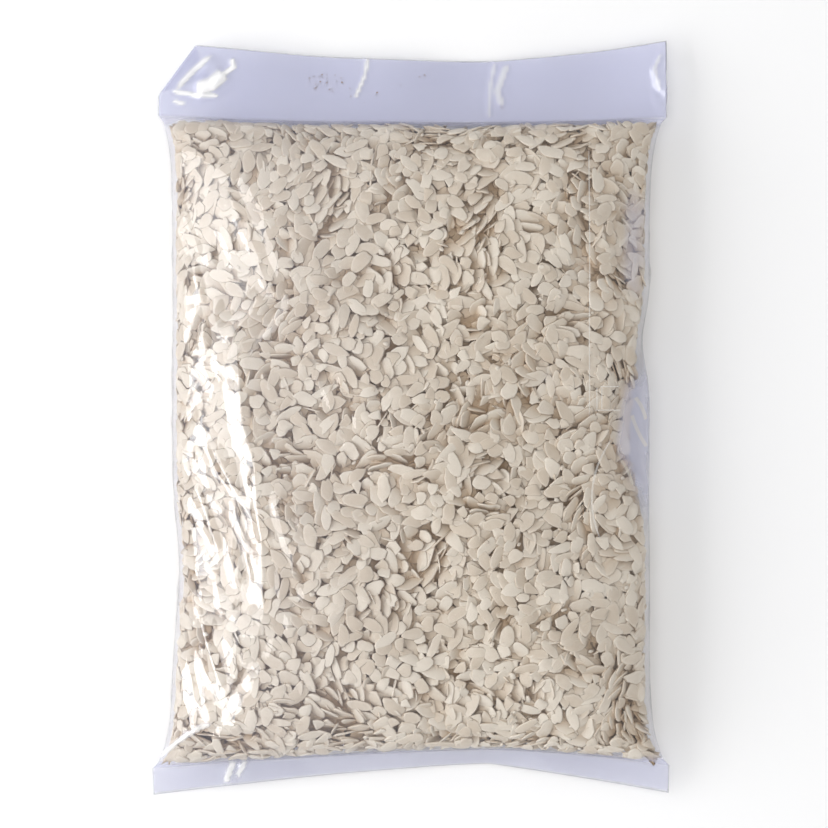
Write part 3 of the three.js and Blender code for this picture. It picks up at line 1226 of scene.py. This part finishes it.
    def build(self, finish: bpy.types.Material) -> bpy.types.Object:
        """Build the film.

        Args:
            finish: Its material.

        Returns:
            The finished piece.
        """
        depth, room = self.draped()
        rows = self.rows_down + self.rows_between + self.rows_up
        mesh, share = rolled(
            "film", self.columns, rows, lambda across, along: self.point(across, along, depth))
        paint(mesh, "haze", self.haze(share[:, 0], share[:, 1] * rows, room))
        place = np.array([vert.co[:] for vert in mesh.vertices])
        # Painted highlights along creases, and painted light below the top weld and over the bottom
        # band.
        paint(mesh, "painted_light", self.painted_highlight(share[:, 0], share[:, 1] * rows, place))
        return dressed("film", mesh, finish)


@dataclass(frozen=True)
class Dust:
    """Brown specks of husk that lie between the header's two sheets."""

    film: Film
    clusters: tuple[tuple[float, float, float, float, int], ...] = (
        (-31 * MM, 122 * MM, 6.5 * MM, 3.4 * MM, 26),
        (4.2 * MM, 124.6 * MM, 1.4 * MM, 0.9 * MM, 3),
        (32.5 * MM, 113 * MM, 0.8 * MM, 0.5 * MM, 2),
        (-8 * MM, 118 * MM, 20 * MM, 3.5 * MM, 7),
    )
    radius: Pair = (0.24 * MM, 0.46 * MM)
    drawn_out: Pair = (1.0, 1.9)
    under: float = 0.7
    sides: int = 6
    thickness: float = 0.12 * MM
    inside: Pair = (0.1, 0.9)
    seed: int = 71

    def build(self, finish: bpy.types.Material) -> bpy.types.Object:
        """Strew the specks.

        Args:
            finish: Their material.

        Returns:
            The finished piece.
        """
        random = np.random.default_rng(self.seed)
        shape = self.film.tube.shape
        bm = bmesh.new()
        for x, y, spread_x, spread_y, count in self.clusters:
            place_x = random.uniform(x - spread_x, x + spread_x, count)
            place_y = random.uniform(y - spread_y, y + spread_y, count)
            weld_y = shape.line_y(shape.top.weld, place_x)
            share = (place_y - weld_y) / (shape.line_y(shape.top.edge, place_x) - weld_y)
            for point in self.film.flat(shape.top, place_x, np.clip(share, *self.inside)):
                size = random.uniform(*self.radius)
                turn = Matrix.Rotation(random.uniform(0.0, math.pi), 4, "Z")
                long = Matrix.Diagonal((random.uniform(*self.drawn_out), 1.0, 1.0, 1.0))
                bmesh.ops.create_cone(
                    bm, cap_ends=True, segments=self.sides, radius1=size,
                    radius2=self.under * size, depth=self.thickness,
                    matrix=Matrix.Translation(point) @ turn @ long)
        mesh = bpy.data.meshes.new("husk_dust")
        bm.to_mesh(mesh)
        bm.free()
        return dressed("husk_dust", mesh, finish, smooth=False)


def sampled(raster: Array, across: Array, along: Array) -> Array:
    """Read a raster of (t, s) smoothly.

    Args:
        raster: The raster, which closes on itself across its second axis.
        across: Shares of the way across it.
        along: Shares of the way along it.

    Returns:
        The values there.
    """
    column = across * raster.shape[1] - 0.5
    row = np.clip(along * raster.shape[0] - 0.5, 0.0, raster.shape[0] - 1.0)
    left, low = np.floor(column).astype(int), np.floor(row).astype(int)
    high = np.minimum(low + 1, raster.shape[0] - 1)
    right, left = (left + 1) % raster.shape[1], left % raster.shape[1]
    part, rise = column - np.floor(column), row - low
    near = lerp(raster[low, left], raster[low, right], part)
    return lerp(near, lerp(raster[high, left], raster[high, right], part), rise)


class Nodes:
    """A material or a sky in the making, with a short method for each node that it uses."""

    def __init__(self, owner: bpy.types.Material | bpy.types.World) -> None:
        """Start with no nodes.

        Args:
            owner: What the nodes are for.
        """
        self.owner = owner
        owner.use_nodes = True
        self.tree = owner.node_tree
        self.tree.nodes.clear()

    @cached_property
    def place(self) -> bpy.types.NodeSocket:
        """Read the place on the object."""
        return self.add("ShaderNodeTexCoord").outputs["Object"]

    def add(self, kind: str, **inputs: object) -> bpy.types.Node:
        """Add a node.

        Args:
            kind: Its type.
            **inputs: Sockets or values for its inputs, by name with _ for a space.

        Returns:
            The node.
        """
        node = self.tree.nodes.new(kind)
        for name, value in inputs.items():
            self.feed(node.inputs[name.replace("_", " ")], value)
        return node

    def feed(self, socket: bpy.types.NodeSocket, value: object) -> None:
        """Link an output to an input, or set the input's own value."""
        if isinstance(value, bpy.types.NodeSocket):
            self.tree.links.new(value, socket)
        elif isinstance(value, tuple) and len(value) == 3 and socket.type == "RGBA":
            socket.default_value = (*value, 1.0)
        else:
            socket.default_value = value

    def attribute(self, name: str) -> bpy.types.NodeSocket:
        """Read a value painted on the mesh."""
        node = self.add("ShaderNodeAttribute")
        node.attribute_name = name
        return node.outputs["Fac"]

    def noise(self, scale: float, detail: float = 2.0, kind: str = "FBM") -> bpy.types.NodeSocket:
        """Make noise with so many cells a metre."""
        node = self.add("ShaderNodeTexNoise", Vector=self.place, Scale=scale, Detail=detail)
        node.noise_type = kind
        return node.outputs["Fac"]

    def parts(self, vector: bpy.types.NodeSocket) -> tuple[bpy.types.NodeSocket, ...]:
        """Split a vector into its x, y and z."""
        return tuple(self.add("ShaderNodeSeparateXYZ", Vector=vector).outputs)

    def math(self, operation: str, *values: object) -> bpy.types.NodeSocket:
        """Work out a number from others."""
        node = self.add("ShaderNodeMath")
        node.operation = operation
        for socket, value in zip(node.inputs, values):
            self.feed(socket, value)
        return node.outputs[0]

    def step(self, value: object, low: float, high: float, start: float = 0.0,
             end: float = 1.0) -> bpy.types.NodeSocket:
        """Map a value between low and high to one between start and end."""
        node = self.add("ShaderNodeMapRange")
        node.interpolation_type = "SMOOTHSTEP"
        for socket, one in zip(node.inputs, (value, low, high, start, end)):
            self.feed(socket, one)
        return node.outputs[0]

    def mix(self, share: object, first: object, second: object) -> bpy.types.NodeSocket:
        """Mix two colours."""
        node = self.add("ShaderNodeMix")
        node.data_type = "RGBA"
        for name, value in (("Factor_Float", share), ("A_Color", first), ("B_Color", second)):
            self.feed(next(one for one in node.inputs if one.identifier == name), value)
        return next(one for one in node.outputs if one.identifier == "Result_Color")

    def bump(self, height: object, distance: float, strength: float = 1.0) -> bpy.types.NodeSocket:
        """Turn a height between 0 and 1 into a normal."""
        return self.add("ShaderNodeBump", Height=height, Distance=distance,
                        Strength=strength).outputs["Normal"]

    def blend(self, share: object, first: bpy.types.Node, second: bpy.types.Node) -> bpy.types.Node:
        """Mix two shaders."""
        node = self.add("ShaderNodeMixShader")
        for socket, value in zip(node.inputs, (share, first.outputs[0], second.outputs[0])):
            self.feed(socket, value)
        return node

    def finished(self, shader: bpy.types.Node) -> bpy.types.Material | bpy.types.World:
        """Show a shader as the owner's surface."""
        sky = isinstance(self.owner, bpy.types.World)
        self.add("ShaderNodeOutputWorld" if sky else "ShaderNodeOutputMaterial",
                 Surface=shader.outputs[0])
        return self.owner


@dataclass(frozen=True)
class RiceFinish:
    """Dry pressed rice: cream, each flake of its own tone, with a paler rim on each face that is
    painted light through the thin edge, and painted shade that turns the side walls and the flakes
    lying deeper darker and browner.
    """

    name: str = "rice_flake"
    pale: Colour = (0.735, 0.665, 0.555)
    deep: Colour = (0.625, 0.535, 0.42)
    # Next, a paler rim colour, painted light through the thin edges, and a browner colour, painted
    # shade.
    edge: Colour = (0.78, 0.72, 0.625)
    painted_shade: Colour = (0.56, 0.425, 0.285)
    roughness: float = 0.62
    mottle_scale: float = 420.0
    mottle_share: float = 0.5
    tone_share: float = 0.7
    deepens_over: Pair = (0.25, 0.95)
    # Over which share of the rim the paler painted light shows, and how much of it.
    painted_rim_light_over: Pair = (0.6, 0.9)
    painted_rim_light_share: float = 0.3
    # The side walls, which take up to half the painted shade colour.
    side: Pair = (0.93, 1.0)
    wall_shade_share: float = 0.5
    # The painted shade deepens with how far a flake lies below where the bed starts.
    shade_by_depth_over: Pair = (0.12, 0.75)
    grain_scale: float = 1500.0
    grain_depth: float = 0.08 * MM

    def make(self) -> bpy.types.Material:
        """Build the material."""
        nodes = Nodes(bpy.data.materials.new(self.name))
        mottle = nodes.math("MULTIPLY", nodes.noise(self.mottle_scale, 3.0), self.mottle_share)
        mixed = nodes.math("MULTIPLY_ADD", nodes.attribute("tone"), self.tone_share, mottle)
        body = nodes.mix(nodes.step(mixed, *self.deepens_over), self.pale, self.deep)
        rim = nodes.attribute("rim")
        # Painted light on each face's rim, and painted shade on the side walls.
        edge = nodes.step(rim, *self.painted_rim_light_over, 0.0, self.painted_rim_light_share)
        side = nodes.step(rim, *self.side, 0.0, self.wall_shade_share)
        whole = nodes.mix(side, nodes.mix(edge, body, self.edge), self.painted_shade)
        # Painted shade on flakes that lie deeper.
        sunk = nodes.step(nodes.attribute("sunk"), *self.shade_by_depth_over)
        shader = nodes.add(
            "ShaderNodeBsdfPrincipled", Base_Color=nodes.mix(sunk, whole, self.painted_shade),
            Roughness=self.roughness, Specular_IOR_Level=0.3,
            Normal=nodes.bump(nodes.noise(self.grain_scale), self.grain_depth, 0.4))
        return nodes.finished(shader)


@dataclass(frozen=True)
class CoreFinish:
    """Painted shade: dark browns for the core, which stand in for the shade between flakes that lie
    too deep to see one by one.
    """

    name: str = "rice_core_painted_shade"
    dark: Colour = (0.46, 0.32, 0.19)
    light: Colour = (0.66, 0.51, 0.35)
    patch_scale: float = 260.0
    patch_over: Pair = (0.35, 0.65)
    bump_scale: float = 300.0
    bump_depth: float = 0.8 * MM

    def make(self) -> bpy.types.Material:
        """Build the material."""
        nodes = Nodes(bpy.data.materials.new(self.name))
        patches = nodes.step(nodes.noise(self.patch_scale, 4.0), *self.patch_over)
        shader = nodes.add(
            "ShaderNodeBsdfPrincipled", Base_Color=nodes.mix(patches, self.dark, self.light),
            Roughness=0.9, Normal=nodes.bump(nodes.noise(self.bump_scale, 4.0), self.bump_depth))
        return nodes.finished(shader)


@dataclass(frozen=True)
class DustFinish:
    """Brown husk."""

    name: str = "husk"
    brown: Colour = (0.24, 0.15, 0.08)

    def make(self) -> bpy.types.Material:
        """Build the material."""
        nodes = Nodes(bpy.data.materials.new(self.name))
        return nodes.finished(
            nodes.add("ShaderNodeBsdfPrincipled", Base_Color=self.brown, Roughness=0.9))


@dataclass(frozen=True)
class Hairline:
    """A sharp crease too fine to model, drawn on the shown face as a pale line of painted highlight
    from one place to another.
    """

    ends: tuple[Place, ...]
    bow: float = 0.0
    width: float = 0.34 * MM
    strength: float = 0.42
    core: float = 0.4
    taper: float = 0.06

    def mask(self, nodes: Nodes, x: bpy.types.NodeSocket,
             y: bpy.types.NodeSocket) -> bpy.types.NodeSocket:
        """Mark the crease.

        Args:
            nodes: The finish that it is drawn in.
            x: Place across the bag.
            y: Place along it.

        Returns:
            Its strength on the crease and 0 away from it.
        """
        start, end = self.ends
        length = math.dist(start, end)
        way_x, way_y = ((b - a) / length for a, b in zip(start, end))
        dx = nodes.math("SUBTRACT", x, start[0])
        dy = nodes.math("SUBTRACT", y, start[1])
        gone = nodes.math("MULTIPLY_ADD", dx, way_x, nodes.math("MULTIPLY", dy, way_y))
        share = nodes.math("DIVIDE", gone, length)
        off = nodes.math("MULTIPLY_ADD", dy, way_x, nodes.math("MULTIPLY", dx, -way_y))
        left = nodes.math("SUBTRACT", 1.0, share)
        bowed = nodes.math("MULTIPLY", nodes.math("MULTIPLY", share, left), 4 * self.bow)
        away = nodes.math("ABSOLUTE", nodes.math("SUBTRACT", off, bowed))
        line = nodes.step(away, self.core * self.width, self.width, self.strength, 0.0)
        tapers = (nodes.step(one, 0.0, self.taper) for one in (share, left))
        return nodes.math("MULTIPLY", line, nodes.math("MULTIPLY", *tapers))


@dataclass(frozen=True)
class FilmFinish:
    """Clear glossy film, with a lilac haze where it hangs loose or lies double, raised on the left
    as a painted sheen, and pale painted highlights along hairlines and creases, below the top weld
    and over the bottom band.
    """

    hairlines: tuple[Hairline, ...]
    name: str = "clear_film"
    tint: Colour = (0.985, 0.985, 0.995)
    haze: Colour = (0.67, 0.685, 0.88)
    # Pale colours of painted highlight, for the hairlines and for the creases and welds.
    crease: Colour = (0.92, 0.89, 0.84)
    painted_light: Colour = (0.97, 0.97, 0.98)
    top_z: float = 18 * MM
    least_gloss: float = 0.07
    gloss_power: float = 5.0
    roughness: float = 0.05
    ridge_scale: float = 150.0
    ridge_share: float = 0.3
    crinkle_scale: float = 420.0
    crinkle_depth: float = 0.12 * MM
    hairline_highlight_over: Pair = (0.0, 0.3)
    painted_highlight_over: Pair = (0.0, 0.6)

    def make(self) -> bpy.types.Material:
        """Build the material."""
        nodes = Nodes(bpy.data.materials.new(self.name))
        x, y, z = nodes.parts(nodes.place)
        # Hairlines and creases get painted highlight, laid into the film's haze.
        masks = [line.mask(nodes, x, y) for line in self.hairlines]
        creased = reduce(lambda one, other: nodes.math("MAXIMUM", one, other), masks)
        shown = nodes.math("GREATER_THAN", z, self.top_z)
        creased = nodes.math("MULTIPLY", creased, shown)
        highlight_paint = nodes.attribute("painted_light")
        cover = nodes.math("MAXIMUM", nodes.attribute("haze"),
                           nodes.math("MAXIMUM", creased, highlight_paint))
        clear = nodes.add("ShaderNodeBsdfTransparent", Color=self.tint)
        lined = nodes.mix(nodes.step(creased, *self.hairline_highlight_over), self.haze, self.crease)
        cloudy = nodes.add("ShaderNodeBsdfDiffuse", Color=nodes.mix(
            nodes.step(highlight_paint, *self.painted_highlight_over), lined, self.painted_light))
        ridges = nodes.noise(self.ridge_scale, 2.0, "RIDGED_MULTIFRACTAL")
        uneven = nodes.math("MULTIPLY_ADD", ridges, self.ridge_share,
                            nodes.noise(self.crinkle_scale))
        crinkle = nodes.bump(uneven, self.crinkle_depth, 0.5)
        shine = nodes.add("ShaderNodeBsdfGlossy", Roughness=self.roughness, Normal=crinkle)
        facing = nodes.add("ShaderNodeLayerWeight", Blend=0.5, Normal=crinkle).outputs["Facing"]
        edge_on = nodes.math("POWER", facing, self.gloss_power)
        gloss = nodes.math("MULTIPLY_ADD", edge_on, 1.0 - self.least_gloss, self.least_gloss)
        return nodes.finished(nodes.blend(gloss, nodes.blend(cover, clear, cloudy), shine))


@dataclass(frozen=True)
class FloorFinish:
    """Pale matt paper."""

    name: str = "pale_floor"
    pale: Colour = (0.93, 0.93, 0.935)
    shade: Colour = (0.91, 0.91, 0.915)
    patch_scale: float = 6.0

    def make(self) -> bpy.types.Material:
        """Build the material."""
        nodes = Nodes(bpy.data.materials.new(self.name))
        colour = nodes.mix(nodes.noise(self.patch_scale), self.pale, self.shade)
        return nodes.finished(
            nodes.add("ShaderNodeBsdfPrincipled", Base_Color=colour, Roughness=0.9,
                      Specular_IOR_Level=0.1))


@dataclass(frozen=True)
class Sky:
    """Soft light from all round, dim overhead so that the film mirrors little of it."""

    strength: float = 0.53
    overhead: float = 0.1
    cap: Pair = (0.84, 0.97)

    def make(self) -> bpy.types.World:
        """Build the sky."""
        nodes = Nodes(bpy.data.worlds.new("studio"))
        up = nodes.parts(nodes.add("ShaderNodeTexCoord").outputs["Generated"])[2]
        strength = nodes.step(up, *self.cap, self.strength, self.overhead)
        return nodes.finished(
            nodes.add("ShaderNodeBackground", Color=(1.0, 1.0, 1.0), Strength=strength))


class Glow(Enum):
    """What a lamp is for: to be mirrored in the film, or to light what is matt."""

    MIRRORED = "mirrored"
    LIGHTING = "lighting"


@dataclass(frozen=True)
class Softbox:
    """A large soft lamp aimed at the bag: its place by angles, its sizes and its glow."""

    name: str
    azimuth: float
    zenith: float
    distance: float
    wide: float
    high: float
    glow: float
    task: Glow

    def hang(self) -> bpy.types.Object:
        """Hang the lamp."""
        data = bpy.data.lights.new(self.name, "AREA")
        data.shape = "RECTANGLE"
        data.size, data.size_y = self.wide, self.high
        data.energy = math.pi * self.wide * self.high * self.glow
        flat = math.sin(self.zenith)
        out = Vector((flat * math.cos(self.azimuth), flat * math.sin(self.azimuth),
                      math.cos(self.zenith)))
        lamp = bpy.data.objects.new(self.name, data)
        lamp.location = out * self.distance
        lamp.rotation_euler = out.to_track_quat("Z", "Y").to_euler()
        lamp.visible_diffuse = self.task is Glow.LIGHTING
        lamp.visible_glossy = self.task is Glow.MIRRORED
        bpy.context.collection.objects.link(lamp)
        return lamp


@dataclass(frozen=True)
class Studio:
    """Floor, camera and soft light."""

    floor_size: float = 6.0
    photo_width: float = 828 * 0.362 * MM
    camera_height: float = 1.2
    focus_z: float = 15 * MM
    centre: Place = (1.1 * MM, 1.6 * MM)
    lamps: tuple[Softbox, ...] = (
        Softbox(name="streaks", azimuth=math.radians(210), zenith=math.radians(53), distance=1.6,
                wide=1.6, high=0.64, glow=6.5, task=Glow.MIRRORED),
        Softbox(name="veil", azimuth=math.radians(184), zenith=math.radians(46), distance=2.4,
                wide=2.8, high=1.8, glow=3.1, task=Glow.MIRRORED),
        Softbox(name="side", azimuth=math.radians(187), zenith=math.radians(60), distance=1.2,
                wide=1.6, high=0.9, glow=2.6, task=Glow.LIGHTING),
        Softbox(name="front", azimuth=0.0, zenith=0.0, distance=2.4, wide=1.6, high=1.6,
                glow=3.1, task=Glow.LIGHTING),
    )

    def floor(self) -> bpy.types.Object:
        """Lay the floor."""
        bm = bmesh.new()
        bmesh.ops.create_grid(bm, x_segments=1, y_segments=1, size=self.floor_size / 2)
        mesh = bpy.data.meshes.new("floor")
        bm.to_mesh(mesh)
        bm.free()
        mesh.materials.append(FloorFinish().make())
        floor = bpy.data.objects.new("floor", mesh)
        bpy.context.collection.objects.link(floor)
        return floor

    def camera(self) -> bpy.types.Object:
        """Look straight down on the bag, as the photo does."""
        data = bpy.data.cameras.new("camera")
        data.lens = data.sensor_width * self.camera_height / self.photo_width
        camera = bpy.data.objects.new("camera", data)
        camera.location = (*self.centre, self.focus_z + self.camera_height)
        bpy.context.collection.objects.link(camera)
        bpy.context.scene.camera = camera
        return camera

    def set_up(self) -> None:
        """Set up the whole studio."""
        self.camera()
        self.floor()
        for lamp in self.lamps:
            lamp.hang()
        bpy.context.scene.world = Sky().make()
        bpy.context.scene.view_settings.view_transform = "Standard"


LOOSE_PATCHES = (
    LoosePatch(x=79.5 * MM, y=64 * MM, half_x=6 * MM, half_y=30 * MM, most=1.9 * MM),
    LoosePatch(x=61 * MM, y=50 * MM, half_x=3.2 * MM, half_y=18 * MM, most=1.9 * MM),
    LoosePatch(x=48.5 * MM, y=15 * MM, half_x=5 * MM, half_y=8 * MM, most=1.5 * MM),
    LoosePatch(x=77 * MM, y=-2 * MM, half_x=5 * MM, half_y=20 * MM, most=1.6 * MM),
)
CRUMPLED = (
    LoosePatch(x=-76.5 * MM, y=124 * MM, half_x=11 * MM, half_y=9 * MM, most=1.5),
    LoosePatch(x=30 * MM, y=120 * MM, half_x=8 * MM, half_y=13 * MM, most=0.8),
    LoosePatch(x=91 * MM, y=125 * MM, half_x=4 * MM, half_y=15 * MM, most=1.2),
    LoosePatch(x=-62 * MM, y=-128 * MM, half_x=8 * MM, half_y=7 * MM, most=1.1),
)
BLADE = Crease(
    line=path((-62, 30), (-59, -1.6), (-55.4, -13), (-53.2, -35), (-51.4, -56), (-53, -78)),
    height=2.0 * MM, left=2.2 * MM, right=6.5 * MM, fade=0.2,
)
LEFT_CREASES = (
    Crease(line=path((-79, -19), (-72, -36), (-67, -51)),
           height=0.9 * MM, left=1.4 * MM, right=2.6 * MM),
    Crease(line=path((-74, -6), (-64, -24), (-57, -33)),
           height=1.1 * MM, left=4.5 * MM, right=1.5 * MM),
    Crease(line=path((-79, -58), (-72, -82), (-66, -98)),
           height=1.2 * MM, left=1.6 * MM, right=5 * MM),
    Crease(line=path((-80, 66), (-74, 40), (-73, 18)),
           height=0.8 * MM, left=1.4 * MM, right=4 * MM),
)
# The dog-ear's crease, with a painted highlight along it.
DOG_EAR = Crease(
    line=path((-92, -124), (-83, -116), (-75.7, -111.3), (-70, -109)),
    height=1.2 * MM, left=2.2 * MM, right=1.0 * MM, fade=0.15, highlight_paint=0.6,
)
RIDGE = Crease(
    line=path((63.7, 98), (63.7, 2)),
    height=0.35 * MM, left=1.4 * MM, right=1.4 * MM, fade=0.1,
)
WRINKLE = Crease(
    line=path((70, -8), (65, -19), (65, -31), (67, -42)),
    height=0.6 * MM, left=1.6 * MM, right=1.6 * MM,
)
# Creases of the bands, most with a painted highlight along them.
BAND_CREASES = (
    Crease(line=path((-70.5, 133.8), (-79, 126), (-87, 117.4)),
           height=0.9 * MM, left=1.0 * MM, right=2.6 * MM, fade=0.3, highlight_paint=0.7),
    Crease(line=path((-64.8, 131.6), (-64.4, 127.6), (-71.5, 122)),
           height=0.9 * MM, left=1.0 * MM, right=1.8 * MM, fade=0.1, highlight_paint=1.0),
    Crease(line=path((-66.8, 125), (-72, 120.4), (-78, 118.4)),
           height=1.7 * MM, left=2.2 * MM, right=5.4 * MM, fade=0.12, highlight_paint=1.0),
    Crease(line=path((-69.6, 117), (-79, 117.4), (-87, 119)),
           height=0.6 * MM, left=1.0 * MM, right=1.4 * MM, fade=0.1, highlight_paint=1.0),
    Crease(line=path((-86.4, 115.4), (-82, 114)),
           height=0.5 * MM, left=1.2 * MM, right=1.2 * MM, fade=0.1, highlight_paint=0.75),
    Crease(line=path((-15.4, 132.6), (-16.6, 125), (-20.5, 115.5)),
           height=0.7 * MM, left=0.9 * MM, right=1.5 * MM, fade=0.12, highlight_paint=0.6),
    Crease(line=path((31, 131), (29, 121), (28.5, 108)),
           height=0.8 * MM, left=1.0 * MM, right=1.6 * MM, fade=0.12, highlight_paint=0.35),
    Crease(line=path((36, 130.6), (32, 119), (34, 112)),
           height=0.7 * MM, left=1.2 * MM, right=3.0 * MM, fade=0.2, highlight_paint=0.4),
    Crease(line=path((91.5, 134), (88.6, 127), (91, 117)),
           height=0.7 * MM, left=1.0 * MM, right=1.4 * MM, fade=0.2, highlight_paint=0.4),
    Crease(line=path((-63.5, -122.6), (-67.4, -133)),
           height=0.8 * MM, left=1.2 * MM, right=2.2 * MM, fade=0.12, highlight_paint=0.8),
    Crease(line=path((-59.6, -124), (-63.4, -131)),
           height=0.6 * MM, left=1.0 * MM, right=1.8 * MM, fade=0.15, highlight_paint=0.7),
    DOG_EAR,
)
# Fine creases and marks, drawn as lines of painted highlight.
HAIRLINES = (
    Hairline(ends=path((63.7, 98), (63.7, -1))),
    Hairline(ends=path((72, -7), (67.5, -43)), bow=-5 * MM, width=0.5 * MM),
    Hairline(ends=path((66.4, 11.2), (66.4, 3.2))),
    Hairline(ends=path((68.2, 11.2), (68.2, 3.2))),
    Hairline(ends=path((65.6, 3.0), (75.4, 3.0))),
    Hairline(ends=path((67.4, 11.4), (74.6, 11.4))),
    Hairline(ends=path((80.4, 7.7), (84.6, -0.5)), bow=0.6 * MM, width=1.0 * MM, strength=0.3),
    Hairline(ends=path((79.2, 1.5), (85, -10.3)), bow=-0.6 * MM, width=1.0 * MM, strength=0.26),
    Hairline(ends=path((75, -14.7), (79.6, -24)), bow=0.5 * MM, width=0.8 * MM, strength=0.34),
)
RIGHT_GAP = SideGap(y=-6 * MM, reach=22 * MM, most=7.5 * MM, spread=26 * MM)


def main() -> None:
    """Build the bag in its studio."""
    logging.basicConfig(level=logging.INFO, format="%(name)s: %(message)s")
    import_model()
    Studio().set_up()
    tube = FilmTube(BagShape())
    contents = Contents(tube, LOOSE_PATCHES, RIGHT_GAP)
    bed = FlakeBed(tube, contents.starts(*tube.raster(FlakeBed.cell)))
    bed.fill()
    rice = RiceFinish().make()
    for kind, flakes in bed.flakes.items():
        FlakeMaker(tube).build(kind, flakes, rice)
    contents.core(CoreFinish().make())
    creases = (BLADE, *LEFT_CREASES, DOG_EAR, RIDGE, WRINKLE)
    film = Film(bed, creases, BAND_CREASES, CRUMPLED)
    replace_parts(film.build(FilmFinish(HAIRLINES).make()), NODE)
    Dust(film).build(DustFinish().make())


if __name__ == "__main__":
    main()
